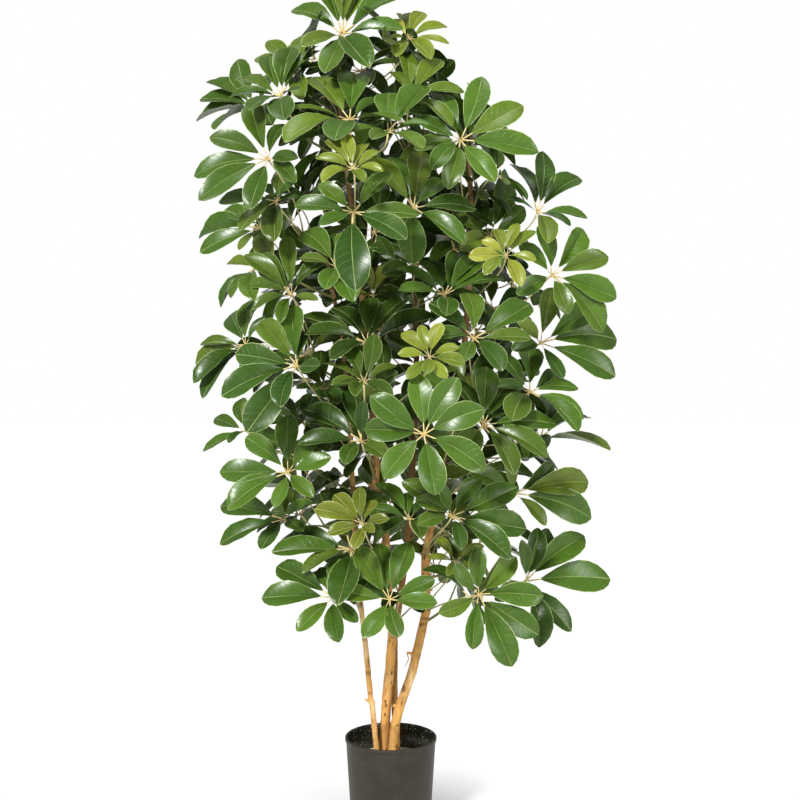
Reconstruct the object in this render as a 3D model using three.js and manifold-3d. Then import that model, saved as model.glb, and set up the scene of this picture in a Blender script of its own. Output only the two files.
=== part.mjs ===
// A potted umbrella plant: four woody trunks in the plaster bed of a tall round pot, and leafy sprays whose
// long stalks each end in a head of leaflets spread like the ribs of an umbrella. Millimetres, +Z up, the
// front towards -Y, and the origin at the middle of the pot's foot, on the floor.
import * as THREE from "three";
import { mergeVertices } from "three/addons/utils/BufferGeometryUtils.js";
import Module from "manifold-3d";

const wasm = await Module();
wasm.setup();

// Driving dimensions.
const GAP = 0.3; // between two pieces that touch
const UP = new THREE.Vector3(0, 0, 1);
const POT = {
  footRadius: 69, rimRadius: 80, height: 152.5, wall: 2.2, floor: 4, sides: 24,
  lip: 7, lipOut: 1.4, lipSlope: 1, // how tall the rim's lip is, how far it stands out, and its lower slope
};
const BED = {
  top: 112, sides: 24,
  lump: 2.2, lumpLow: 0.4, seed: 7, // the height of its lumps, and the share of it that lies below the top
  ring: 0.58, // the circle of points on its top, as a share of its radius
  flatRim: 1, // the width left flat at its edge
};
const TRUNK_SIDES = 7;
const SPUR_SIDES = 5;
const TRUNK_FOOT = 24; // where the trunks end in the bed
const STALK = {
  radius: 1.7, sides: 3, steps: 3, longSpan: 135, // a stalk longer than longSpan has one step more
  hubDrop: 5, // how far behind the hub's middle it starts
  straight: 0.36, bendAt: 0.34, arch: 0.04, // its run out of the hub, its bend and its rise there, as shares
  bowShare: [0.7, 1.4], // how much of a bow its two bends take
  clear: 1.8, // kept free round it
};
const TWIG = {
  radius: 2.5, sides: 4, past: 3, // it ends a little past the fork
  sag: 3, bowShare: 0.5, fork: [0.45, 0.3], // fork: its share of the way out and of the way up
  clear: 1.9, probeFrom: 0.25, // where a probe for its place starts, as a share of its first stretch
};
const HUB = { radius: 4, crown: 1.2, keepOut: 17 };
const BLADE = {
  thickness: 0.8,
  widest: 0.62, // where a blade is widest, as a share of its length
  halfWidth: 0.205, // there, and at its blunt tip, as shares of the head's reach
  tipHalfWidth: 0.1,
  droop: [-17, 4], // how far its two stretches lean back from the head's plane, in degrees: it is cupped
  wander: 0.16, // how unevenly the leaflets are spread, as a share of the angle between two
  shorter: 0.08, // how much shorter than its place asks a leaflet can be
  leanSpread: 10, // how unevenly they lean and roll, in degrees
  leanShare: [0.85, 1.15], // how much of a bend its two stretches take
  rollSpread: 18,
  clear: 1.6, // kept free of everything else on each side
  probeRoot: 0.11, // where a probe for its place starts, as a share of its length, and half its width there
  rootHalf: 1.6,
};
const EYE = { x: 16, z: 740, distance: 1870 }; // the front view's eye: heads are placed along its sight lines
// That view is ruled in squares: the eye looks straight at the square in column 400 and row 400.
const SHEET = { middle: 400, square: 1.75 };
// How long a leaflet aimed at a place on the sheet can be, as shares of its head's reach.
const AIMED_LENGTH = { least: 0.55, most: 1.15 };

// The trunks as [x, y, z, radius], from the foot up, with their bends and knots.
const TRUNKS = {
  a: [
    [-25, -12, TRUNK_FOOT, 4.8], [-25, -12, 136, 4.8], [-32, -14, 209, 4.7], [-33, -14, 215, 5.8],
    [-35, -14, 222, 4.7], [-45.5, -12, 329, 4.7], [-60, -8, 444, 4.5], [-68, -4, 623, 4.4],
    [-74, 0, 756, 4.2], [-96, 8, 900, 3.8], [-118, 10, 1010, 3.2],
  ],
  b: [
    [-12, 8, TRUNK_FOOT, 8.7], [-12, 8, 136, 8.7], [-8, 6, 204, 8.6], [3, 4, 329, 8.2], [-4, 0, 420, 7.2],
    [-9, -2, 502, 6.8], [-17, -4, 560, 6.4], [-28, -6, 586, 7.0], [-24, -6, 623, 5.8], [-36, -6, 760, 5.6],
    [-49, -6, 910, 5.4], [-70, -8, 1090, 4.6], [-93, -10, 1282, 3.6], [-88, -16, 1345, 2.8],
  ],
  c: [
    [10, 20, TRUNK_FOOT, 6.2], [10, 20, 136, 6.2], [6, 26, 215, 6.0], [6, 33, 315, 5.8], [18, 40, 400, 5.8],
    [31, 46, 497, 5.8], [40, 58, 640, 5.4], [46, 70, 800, 5.0], [42, 80, 960, 4.6], [36, 78, 1100, 4.0],
    [30, 70, 1230, 3.0],
  ],
  d: [
    [4, -10, TRUNK_FOOT, 8.6], [4, -10, 136, 8.6], [8, -10, 176, 8.5], [15, -10, 205, 8.8],
    [23, -10, 227, 8.5], [36, -10, 263, 8.2], [45, -10, 300, 8.2], [60, -12, 366, 8.0], [61, -12, 373, 8.9],
    [61, -12, 381, 7.9], [61, -12, 408, 8.0], [60, -14, 469, 7.2], [84, -14, 600, 6.4],
    [124, -12, 791, 5.6], [138, -8, 950, 5.0], [140, -10, 1080, 4.2], [132, -16, 1180, 3.0],
  ],
};
// The short dead spurs on the trunks: from a point inside the trunk to the broken tip, with both radii.
const SPURS = {
  a: [{ from: [-34, -14, 216], to: [-44, -18, 221], radii: [2.6, 1.6] }],
  b: [{ from: [-28, -6, 586], to: [-39, -12, 594], radii: [3.4, 2.2] }],
  c: [{ from: [30, 46, 490], to: [43, 40, 498], radii: [3, 1.8] }],
  d: [
    { from: [14, -12, 207], to: [4, -15, 210], radii: [4.2, 2.8] },
    { from: [41, -10, 296], to: [29, -14, 302], radii: [3.4, 1.6] },
    { from: [61, -12, 408], to: [72, -15, 411], radii: [3, 2] },
  ],
};

const COLOURS = {
  pot: { color: 0x37322f, roughness: 0.62, metalness: 0 },
  bed: { color: 0xdcd6c8, roughness: 0.95, metalness: 0 },
  bark: { color: 0xb9813f, roughness: 0.8, metalness: 0 },
  leaf: { color: 0x3d6f2b, roughness: 0.38, metalness: 0 },
  young: { color: 0x93ac35, roughness: 0.4, metalness: 0 },
};

/** Where a hub is that the front view shows at a place on the plane y = 0, at its own depth. */
function hubAt(across, up, depth) {
  const scale = (EYE.distance + depth) / EYE.distance;
  const [x, z] = [EYE.x + (across - EYE.x) * scale, EYE.z + (up - EYE.z) * scale];
  return new THREE.Vector3(x, depth, z);
}

/**
 * One head of evenly spread leaflets. across and up say where its hub is seen on the plane y = 0, and depth
 * is its y. reach is the length of its longest leaflet. The head faces turn degrees from the front to its
 * right, and lift degrees above the level. lead is the direction of the longest leaflet, in degrees from
 * straight up to the left, and the leaflet across from it is shorter by the share taper.
 */
function head(across, up, depth, reach, turn, lift, lead, taper, count) {
  return { hub: hubAt(across, up, depth), reach, turn, lift, lead, taper, count };
}

/** One head whose leaflets are each aimed at a tip: where the sheet shows it, as [column, row]. */
function aimed(across, up, depth, reach, turn, lift, ...tips) {
  return { hub: hubAt(across, up, depth), reach, turn, lift, tips };
}

// The sprays that the front view shows: the trunk that each grows from, the height at which it leaves it, and
// its heads. A young head is a shoot of its own.
const FRONT_SPRAYS = [
  {
    name: "top_leaf", trunk: "b", from: 1325,
    heads: [
      aimed(-86, 1380, -40, 125, 0, 38, [292, 2], [302, 46], [324, 63], [369, 67], [403, 29], [408, -8],
        [372, -28], [346, -36], [318, -26]),
    ],
  },
  {
    name: "spray_upper_left_1", trunk: "b", from: 1160,
    heads: [
      aimed(-192, 1272, -70, 100, -20, 55, [269, 57], [292, 48], [319, 51], [240, 79], [230, 97],
        [249, 110], [300, 89], [284, 120]),
      aimed(-236, 1253, 40, 108, -50, 50, [238, 60], [208, 82], [201, 99], [197, 121], [216, 129],
        [272, 125], [285, 70]),
    ],
  },
  {
    name: "spray_upper_left_2", trunk: "b", from: 1225,
    heads: [
      aimed(-168, 1312, -10, 84, -20, 50, [302, 36], [283, 42], [269, 48], [256, 58], [326, 66],
        [318, 46], [300, 92]),
    ],
  },
  {
    name: "spray_left_1", trunk: "a", from: 985,
    heads: [
      aimed(-215, 1162, -130, 128, -5, 18, [249, 98], [284, 124], [298, 158], [296, 182], [250, 209],
        [199, 200], [192, 170], [210, 137]),
      aimed(-200, 1088, -80, 100, -15, 35, [240, 230], [275, 241], [304, 195], [219, 202], [300, 181],
        [262, 184], [280, 170]),
    ],
  },
  {
    name: "spray_left_2", trunk: "a", from: 920,
    heads: [
      aimed(-226, 1041, 10, 118, -30, 30, [194, 230], [200, 252], [239, 250], [272, 259], [225, 210],
        [250, 195], [290, 215]),
      aimed(-238, 971, -40, 88, -45, 35, [228, 263], [254, 246], [275, 245], [216, 302], [231, 298],
        [282, 275], [255, 300]),
    ],
  },
  {
    name: "spray_upper_1", trunk: "b", from: 1120,
    heads: [
      aimed(-72, 1230, -120, 120, 0, 60, [284, 109], [315, 77], [356, 74], [285, 142], [335, 140],
        [399, 121], [380, 100]),
      aimed(-5, 1209, -170, 108, 5, 52, [356, 85], [390, 74], [425, 97], [431, 125], [422, 148], [372, 139],
        [340, 128]),
    ],
  },
  {
    name: "spray_upper_2", trunk: "c", from: 1195,
    heads: [
      aimed(33, 1272, -100, 92, 10, 45, [392, 66], [406, 52], [441, 60], [464, 92], [452, 126], [400, 99]),
    ],
  },
  {
    name: "spray_upper_right", trunk: "d", from: 1020,
    heads: [
      aimed(122, 1195, -120, 124, 5, 20, [445, 86], [482, 77], [523, 106], [538, 152], [495, 182],
        [449, 183], [432, 169], [416, 144], [416, 118]),
      head(118, 1022, 50, 104, 5, 35, 20, 0.2, 6),
    ],
  },
  {
    name: "spray_middle_1", trunk: "b", from: 950,
    heads: [
      aimed(-66, 1069, -220, 122, 0, 34, [356, 291], [391, 172], [418, 208], [406, 239], [295, 199],
        [320, 225], [319, 184], [351, 176]),
      aimed(-96, 974, -120, 96, -10, 50, [303, 232], [300, 258], [326, 289], [352, 292], [370, 262],
        [352, 232], [325, 228]),
    ],
  },
  {
    name: "spray_middle_2", trunk: "c", from: 900,
    heads: [
      aimed(40, 1076, -110, 110, 15, 30, [475, 209], [465, 244], [413, 264], [444, 180], [421, 150],
        [392, 151], [371, 158], [385, 235]),
      aimed(93, 924, -140, 108, 10, 52, [398, 268], [399, 290], [428, 252], [466, 247], [477, 258],
        [503, 279], [446, 315]),
    ],
  },
  {
    name: "spray_right_1", trunk: "d", from: 960,
    heads: [
      aimed(257, 1069, -60, 102, 25, 50, [511, 165], [543, 152], [579, 178], [587, 218], [570, 226],
        [507, 198], [551, 234]),
      aimed(173, 1027, -20, 116, 20, 25, [476, 176], [511, 171], [524, 207], [455, 215], [460, 250],
        [500, 268], [530, 240]),
    ],
  },
  {
    name: "spray_right_2", trunk: "d", from: 850,
    heads: [
      aimed(282, 959, -90, 118, 12, 12, [539, 225], [586, 227], [608, 257], [616, 298], [607, 328],
        [568, 314], [517, 294], [522, 243]),
      aimed(262, 840, -50, 130, 20, 22, [553, 288], [592, 306], [622, 334], [615, 376], [563, 378],
        [518, 322], [512, 350]),
    ],
  },
  {
    name: "spray_right_3", trunk: "d", from: 720,
    heads: [
      aimed(145, 848, -190, 110, 15, 40, [432, 297], [435, 337], [464, 361], [469, 287], [530, 304],
        [531, 338], [502, 371]),
      aimed(243, 754, -100, 104, 25, 48, [530, 340], [562, 368], [578, 388], [586, 412], [578, 431],
        [498, 386], [502, 354], [512, 420]),
    ],
  },
  {
    name: "spray_right_4", trunk: "d", from: 610,
    heads: [
      aimed(161, 696, -170, 120, 20, 40, [487, 367], [513, 375], [536, 394], [556, 424], [547, 457],
        [514, 474], [455, 465], [453, 372]),
      aimed(262, 675, 10, 124, 20, 72, [610, 450], [589, 418], [553, 398], [515, 412], [500, 440],
        [528, 458]),
    ],
  },
  {
    name: "spray_middle_3", trunk: "d", from: 570,
    heads: [
      aimed(58, 680, -265, 110, 0, 10, [417, 373], [458, 378], [484, 409], [485, 470], [436, 495],
        [384, 478], [365, 428], [371, 396]),
      head(130, 752, -60, 104, 10, 40, 20, 0.2, 6),
    ],
  },
  {
    name: "spray_middle_4", trunk: "d", from: 470,
    heads: [
      aimed(107, 537, -190, 124, 10, 30, [402, 482], [412, 502], [440, 486], [480, 478], [517, 487],
        [528, 524], [510, 558], [461, 550], [418, 524]),
      aimed(33, 532, -110, 88, 0, 58, [377, 483], [370, 508], [384, 531], [421, 538], [407, 488],
        [428, 495], [440, 521]),
    ],
  },
  {
    name: "spray_right_5", trunk: "d", from: 430,
    heads: [
      aimed(215, 577, -90, 130, 25, 18, [557, 462], [588, 482], [591, 518], [546, 525], [508, 455],
        [470, 472], [478, 512]),
      aimed(236, 423, -70, 132, 20, 18, [518, 539], [538, 528], [552, 528], [584, 536], [610, 579],
        [571, 631], [539, 647], [495, 600]),
    ],
  },
  {
    name: "spray_low_right", trunk: "d", from: 372,
    heads: [
      aimed(154, 400, -180, 120, 5, 12, [479, 547], [516, 557], [543, 596], [539, 634], [512, 666],
        [474, 648], [439, 613], [455, 564]),
    ],
  },
  {
    name: "spray_low_middle", trunk: "b", from: 320,
    heads: [
      aimed(-2, 391, -200, 104, 0, 34, [358, 547], [379, 540], [408, 543], [434, 577], [437, 603],
        [399, 637], [363, 637], [328, 590]),
    ],
  },
  {
    name: "spray_left_3", trunk: "a", from: 500,
    heads: [
      aimed(-180, 614, -150, 118, -10, 30, [288, 415], [246, 437], [220, 472], [228, 509], [275, 507],
        [313, 497], [331, 457], [318, 435]),
      aimed(-187, 532, -80, 118, -20, 45, [221, 506], [217, 537], [261, 549], [312, 499], [291, 488],
        [303, 531]),
    ],
  },
  {
    name: "spray_left_4", trunk: "a", from: 380,
    heads: [
      aimed(-70, 479, -120, 132, -15, 60, [284, 530], [272, 552], [302, 565], [345, 592], [384, 533],
        [338, 487], [385, 570]),
      aimed(-101, 395, -170, 114, -10, 30, [262, 598], [275, 563], [316, 561], [335, 557], [370, 577],
        [356, 619], [339, 642], [297, 631]),
    ],
  },
  {
    name: "spray_middle_5", trunk: "b", from: 600,
    heads: [
      aimed(-51, 668, -150, 114, -10, 50, [304, 409], [298, 443], [345, 464], [386, 458], [337, 388],
        [362, 380], [390, 402], [398, 438]),
      aimed(-47, 771, -190, 80, 0, 62, [355, 396], [331, 385], [322, 363], [397, 366], [345, 345],
        [375, 340], [392, 398]),
    ],
  },
  {
    name: "spray_left_5", trunk: "a", from: 770,
    heads: [
      aimed(-173, 924, -120, 90, -15, 34, [264, 258], [289, 240], [324, 253], [250, 284], [253, 309],
        [280, 323], [247, 265], [318, 300]),
      aimed(-254, 836, -20, 106, -30, 40, [227, 308], [201, 344], [192, 358], [194, 383], [197, 391],
        [254, 299], [268, 318], [265, 375]),
    ],
  },
  {
    name: "spray_left_6", trunk: "a", from: 680,
    heads: [
      aimed(-164, 800, -170, 128, -10, 30, [294, 306], [261, 321], [234, 349], [222, 396], [244, 425],
        [280, 407], [319, 366], [303, 331]),
      aimed(-114, 759, -60, 70, -10, 50, [296, 388], [315, 403], [308, 370], [322, 355], [345, 362],
        [352, 392], [340, 410]),
    ],
  },
  {
    name: "spray_middle_6", trunk: "b", from: 760,
    heads: [
      aimed(-42, 840, -120, 114, 0, 48, [300, 316], [333, 300], [303, 342], [408, 297], [436, 316],
        [365, 379], [370, 298], [335, 362]),
      head(26, 972, 60, 102, 10, 40, 30, 0.2, 6),
    ],
  },
  {
    name: "spray_left_7", trunk: "a", from: 580,
    heads: [
      aimed(-154, 701, -50, 108, -20, 40, [284, 399], [309, 393], [258, 412], [249, 431], [272, 445],
        [330, 450], [345, 405]),
      aimed(-254, 687, -60, 92, -40, 40, [215, 418], [203, 451], [229, 443], [243, 398], [270, 405],
        [280, 440]),
    ],
  },
  {
    name: "young_leaf_1", trunk: "b", from: 1240, young: true,
    heads: [
      aimed(31, 1372, -30, 74, 5, 42, [403, 8], [424, 13], [447, 27], [449, 44], [431, 59], [397, 51],
        [391, 38], [394, 19]),
    ],
  },
  {
    name: "young_leaf_2", trunk: "b", from: 1030, young: true,
    heads: [
      aimed(-64, 1144, -245, 70, 0, 45, [316, 158], [322, 182], [327, 140], [345, 139], [365, 138],
        [378, 151], [383, 171], [364, 182]),
    ],
  },
  {
    name: "young_leaf_3", trunk: "d", from: 900, young: true,
    heads: [
      aimed(202, 993, -140, 62, 0, 30, [482, 240], [497, 226], [518, 226], [535, 231], [536, 260],
        [521, 286], [484, 275], [469, 257]),
    ],
  },
  {
    name: "young_leaf_4", trunk: "b", from: 690, young: true,
    heads: [
      aimed(68, 816, -240, 60, 0, 28, [402, 330], [421, 325], [442, 325], [459, 345], [465, 364],
        [447, 378], [426, 381], [407, 379], [398, 354]),
    ],
  },
  {
    name: "young_leaf_5", trunk: "d", from: 380, young: true,
    heads: [
      head(114, 458, -50, 60, 10, 55, -30, 0.1, 6),
    ],
  },
  {
    name: "young_leaf_6", trunk: "b", from: 830, young: true,
    heads: [
      aimed(-31, 922, -40, 58, 0, 60, [350, 294], [374, 317], [397, 291], [390, 264], [371, 263],
        [354, 274]),
    ],
  },
  {
    name: "young_leaf_7", trunk: "b", from: 430, young: true,
    heads: [
      aimed(-49, 523, -220, 84, -5, 34, [360, 487], [334, 492], [315, 509], [328, 534], [354, 549],
        [374, 532], [389, 519], [376, 500]),
    ],
  },
];
// The far side is filled by a rule: sprays of two heads climb round it in golden steps. The heads of a pair
// stand apart by twice apart, in degrees round the crown and in height, and the upper one further in.
const BACK = {
  sprays: 16, lowest: 420, highest: 1300, seed: 500,
  centre: [0, 20], hubRadius: 225, middle: 830, halfHeight: 600, leastBelly: 0.12, // the crown's outline
  azimuth: 180, spread: 105, golden: 0.618034, apart: [17, 42], upperIn: 0.86,
  rise: 95, lowestFork: 330, trunkAbove: 20, // from how far below its heads a spray leaves its trunk
  reach: [100, 28], turn: 30, lift: [22, 36], taper: 0.25, count: 7, // with what a random draw adds to each
};

/** A number from 0 to 1 that looks random and is always the same for the same seed and step. */
function noise(seed, step) {
  const value = Math.sin(seed * 127.1 + step * 311.7) * 43758.5453;
  return value - Math.floor(value);
}

/** The centre and radius of a trunk at a height. */
function trunkAt(rows, z) {
  const isAbove = (row, index) => index > 0 && (row[2] >= z || index === rows.length - 1);
  const top = rows.findIndex(isAbove);
  const [low, high] = [rows[top - 1], rows[top]];
  const share = (z - low[2]) / (high[2] - low[2]);
  const mix = (axis) => low[axis] + (high[axis] - low[axis]) * share;
  return { centre: new THREE.Vector3(mix(0), mix(1), z), radius: mix(3) };
}

/** The sprays of the far side, worked out from BACK. */
function backSprays() {
  return Array.from({ length: BACK.sprays }, (_, index) => {
    const golden = (index * BACK.golden) % 1;
    const height = BACK.lowest + ((BACK.highest - BACK.lowest) * (index + 0.5)) / BACK.sprays;
    const heads = [-1, 1].map((side) => {
      const seed = BACK.seed + index * 2 + side;
      const azimuth = BACK.azimuth + BACK.spread * (2 * golden - 1) + side * BACK.apart[0];
      const z = height + side * BACK.apart[1];
      const fromMiddle = (z - BACK.middle) / BACK.halfHeight;
      const belly = Math.sqrt(Math.max(BACK.leastBelly, 1 - fromMiddle ** 2));
      const radius = BACK.hubRadius * belly * (side > 0 ? BACK.upperIn : 1);
      const turn = THREE.MathUtils.degToRad(azimuth);
      const [x, y] = [BACK.centre[0] + Math.sin(turn) * radius, BACK.centre[1] - Math.cos(turn) * radius];
      return {
        hub: new THREE.Vector3(x, y, z), reach: BACK.reach[0] + BACK.reach[1] * noise(seed, 1),
        turn: azimuth + BACK.turn * (noise(seed, 2) - 0.5),
        lift: BACK.lift[0] + BACK.lift[1] * noise(seed, 3), lead: 360 * noise(seed, 4),
        taper: BACK.taper, count: BACK.count,
      };
    });
    const from = Math.max(BACK.lowestFork, height - BACK.rise);
    const middle = heads[0].hub.clone().add(heads[1].hub).multiplyScalar(0.5);
    const isTallEnough = (key) => TRUNKS[key].at(-1)[2] > from + BACK.trunkAbove;
    const reachable = Object.keys(TRUNKS).filter(isTallEnough);
    const distance = (key) => trunkAt(TRUNKS[key], from).centre.distanceTo(middle);
    const trunk = reachable.reduce((best, key) => (distance(key) < distance(best) ? key : best));
    return { name: `spray_back_${index + 1}`, trunk, from, heads };
  });
}

/** A solid from a list of points and a list of triangles. */
function solidOf(points, faces) {
  const vertProperties = new Float32Array(points.flatMap((point) => [point.x, point.y, point.z]));
  const triVerts = new Uint32Array(faces.flat());
  return new wasm.Manifold(new wasm.Mesh({ numProp: 3, vertProperties, triVerts }));
}

/** A geometry's points and triangles, with shared points merged and triangles without area left out. */
function meshOf(geometry) {
  geometry.deleteAttribute("normal");
  geometry.deleteAttribute("uv");
  const merged = mergeVertices(geometry, 1e-4);
  const position = merged.getAttribute("position");
  const pointAt = (i) => new THREE.Vector3().fromBufferAttribute(position, i);
  const points = Array.from({ length: position.count }, (_, i) => pointAt(i));
  const faces = [];
  for (let i = 0; i < merged.index.count; i += 3) {
    const face = [0, 1, 2].map((corner) => merged.index.getX(i + corner));
    if (new Set(face).size === 3) faces.push(face);
  }
  return { points, faces };
}

/** A body turned about the Z axis from a profile of [radius, height] pairs from the axis back to it. */
function turned(profile, sides) {
  const outline = profile.map(([radius, height]) => new THREE.Vector2(radius, height));
  return meshOf(new THREE.LatheGeometry(outline, sides).rotateX(Math.PI / 2));
}

/** A named mesh of a solid. */
function mesh(name, solid, look) {
  const { numProp, vertProperties, triVerts } = solid.getMesh();
  const geometry = new THREE.BufferGeometry();
  geometry.setAttribute("position", new THREE.BufferAttribute(new Float32Array(vertProperties), numProp));
  geometry.setIndex(new THREE.BufferAttribute(new Uint32Array(triVerts), 1));
  geometry.computeVertexNormals();
  const piece = new THREE.Mesh(geometry, new THREE.MeshStandardMaterial(look));
  piece.name = name;
  return piece;
}

/** The walls between rings of equally many points, listed from one end to the other, and both end caps. */
function ringFaces(rings, sides, capStart = true) {
  const faces = [];
  for (let ring = 0; ring + 1 < rings; ring += 1) {
    for (let side = 0; side < sides; side += 1) {
      const [a, b] = [ring * sides + side, ring * sides + ((side + 1) % sides)];
      faces.push([a + sides, b + sides, b], [a + sides, b, a]);
    }
  }
  const last = (rings - 1) * sides;
  for (let side = 1; side + 1 < sides; side += 1) {
    faces.push([last, last + side + 1, last + side]);
    if (capStart) faces.push([0, side, side + 1]);
  }
  return faces;
}

/** Rings of points round a path, each turned as little as possible from the one before it. */
function ringsAlong(path, radii, sides, firstAxis) {
  const axis = firstAxis.clone();
  return path.flatMap((centre, index) => {
    const ahead = path[Math.min(index + 1, path.length - 1)];
    const tangent = ahead.clone().sub(path[Math.max(index - 1, 0)]).normalize();
    axis.addScaledVector(tangent, -axis.dot(tangent)).normalize();
    const side = axis.clone().cross(tangent);
    return Array.from({ length: sides }, (_, corner) => {
      const angle = (2 * Math.PI * (corner + 0.5)) / sides;
      return centre.clone()
        .addScaledVector(axis, radii[index] * Math.cos(angle))
        .addScaledVector(side, radii[index] * Math.sin(angle));
    });
  });
}

/** A tube along a path. */
function tube(path, radii, sides) {
  const tangent = path[1].clone().sub(path[0]).normalize();
  const upright = Math.abs(tangent.z) > 0.8 ? new THREE.Vector3(0, 1, 0) : UP;
  return solidOf(ringsAlong(path, radii, sides, upright), ringFaces(path.length, sides));
}

/** A trunk of level rings, made larger all over by grow. */
function trunkSolid(rows, grow = 0) {
  const points = rows.toReversed().flatMap(([x, y, z, radius], index) => {
    const beyond = (index === 0 ? grow : 0) - (index === rows.length - 1 ? grow : 0);
    const reach = radius + grow / Math.cos(Math.PI / TRUNK_SIDES);
    return Array.from({ length: TRUNK_SIDES }, (_, side) => {
      const angle = (2 * Math.PI * side) / TRUNK_SIDES;
      return new THREE.Vector3(x + reach * Math.cos(angle), y + reach * Math.sin(angle), z + beyond);
    });
  });
  return solidOf(points, ringFaces(rows.length, TRUNK_SIDES));
}

/** A trunk with its broken spurs. */
function trunkWithSpurs(key) {
  return SPURS[key].reduce((trunk, { from, to, radii }) => {
    const path = [new THREE.Vector3(...from), new THREE.Vector3(...to)];
    return trunk.add(tube(path, radii, SPUR_SIDES));
  }, trunkSolid(TRUNKS[key]));
}

/** A head's own axes: out of its face, up its face, and to the left of that. */
function axesOf({ turn, lift }) {
  const [azimuth, rise] = [THREE.MathUtils.degToRad(turn), THREE.MathUtils.degToRad(lift)];
  const out = new THREE.Vector3(
    Math.sin(azimuth) * Math.cos(rise), -Math.cos(azimuth) * Math.cos(rise), Math.sin(rise));
  const up = UP.clone().addScaledVector(out, -out.z).normalize();
  return { out, up, left: out.clone().cross(up) };
}

// The ways in which a leaflet can be bent clear: more droop and swing in degrees, and its share of length.
const BENDS = [
  [0, 0, 1], [9, 0, 1], [-9, 0, 1], [0, 6, 1], [0, -6, 1], [18, 0, 1], [-18, 0, 1], [10, 6, 1], [10, -6, 1],
  [-10, 6, 1], [-10, -6, 1], [28, 0, 1], [-28, 0, 1], [0, 0, 0.84], [14, 0, 0.84], [-14, 0, 0.84],
  [38, 0, 0.95], [-38, 0, 0.95], [28, 0, 0.8], [-28, 0, 0.8], [50, 0, 0.9], [-50, 0, 0.9], [0, 0, 0.68],
  [20, 0, 0.68], [-20, 0, 0.68], [62, 0, 0.8], [-62, 0, 0.8],
];
// The ways in which a stalk can be bowed clear: to its side and upwards, in millimetres.
const BOWS = [
  [0, 0], [16, 0], [-16, 0], [0, 16], [0, -16], [30, 0], [-30, 0], [0, 30], [0, -30], [26, 26], [-26, 26],
  [26, -26], [-26, -26], [48, 0], [-48, 0], [0, 48], [0, -48], [66, 20], [-66, 20], [40, -50], [-40, -50],
];

// How far a leaflet's tip leans back from the head's plane, in degrees, and how far off it is in a straight
// line, as a share of the leaflet's length: both follow from its two stretches.
const CHORD = (() => {
  const shares = [BLADE.widest, 1 - BLADE.widest];
  const sum = (part) => shares.reduce((total, share, i) => total + share * part(i), 0);
  const flat = sum((i) => Math.cos(THREE.MathUtils.degToRad(BLADE.droop[i])));
  const down = sum((i) => Math.sin(THREE.MathUtils.degToRad(BLADE.droop[i])));
  return {
    droop: THREE.MathUtils.radToDeg(Math.atan2(down, flat)), length: Math.hypot(flat, down),
    leanShare: sum((i) => BLADE.leanShare[i]),
  };
})();

/** The place of one of a head's evenly spread leaflets: its angle, lean and length. */
function evenPlace(spec, index) {
  const step = 360 / spec.count;
  const wander = BLADE.wander * step * (noise(spec.seed, index * 5 + 1) - 0.5);
  const fade = (1 - Math.cos(THREE.MathUtils.degToRad(index * step))) / 2;
  const uneven = 1 - BLADE.shorter * noise(spec.seed, index * 5 + 2);
  return {
    angle: spec.lead + index * step + wander,
    lean: BLADE.leanSpread * (noise(spec.seed, index * 5 + 3) - 0.5),
    reach: spec.reach * (1 - spec.taper * fade) * uneven,
  };
}

/**
 * The place of a leaflet aimed at [column, row] on the sheet. Its tip lies on that sight line, where it meets
 * the head's plane, or as near to there as the leaflet's length allows.
 */
function aimedPlace(spec, [column, row]) {
  const { out, up, left } = axesOf(spec);
  const eye = new THREE.Vector3(EYE.x, -EYE.distance, EYE.z);
  const across = (column - SHEET.middle) * SHEET.square;
  const above = (SHEET.middle - row) * SHEET.square;
  const sight = new THREE.Vector3(across, EYE.distance, above).normalize();
  const toHub = spec.hub.clone().sub(eye);
  const chord = sight.clone().multiplyScalar(toHub.dot(sight)).sub(toHub);
  const rise = -Math.sin(THREE.MathUtils.degToRad(CHORD.droop)) * spec.reach;
  const onward = (rise - chord.dot(out)) / sight.dot(out);
  const [least, most] = [AIMED_LENGTH.least * spec.reach, AIMED_LENGTH.most * spec.reach];
  const length = THREE.MathUtils.clamp(Math.hypot(chord.length(), onward), least, most);
  const allowed = Math.sqrt(Math.max(0, length ** 2 - chord.lengthSq()));
  chord.addScaledVector(sight, Math.sign(onward) * allowed);
  const down = THREE.MathUtils.radToDeg(-Math.asin(chord.dot(out) / chord.length()));
  return {
    angle: THREE.MathUtils.radToDeg(Math.atan2(chord.dot(left), chord.dot(up))),
    lean: (down - CHORD.droop) / CHORD.leanShare,
    reach: chord.length() / CHORD.length,
  };
}

/** The places of all a head's leaflets, in order of angle. */
function placesOf(spec) {
  if (!spec.tips) return Array.from({ length: spec.count }, (_, index) => evenPlace(spec, index));
  return spec.tips.map((tip) => aimedPlace(spec, tip)).toSorted((one, other) => one.angle - other.angle);
}

/** The angles that part a head's leaflets, in degrees: the one before each leaflet, and the first again. */
function partings({ places }) {
  const last = places.at(-1).angle - 360;
  const between = places.map(({ angle }, i) => (angle + (i > 0 ? places[i - 1].angle : last)) / 2);
  return [...between, between[0] + 360];
}

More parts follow.
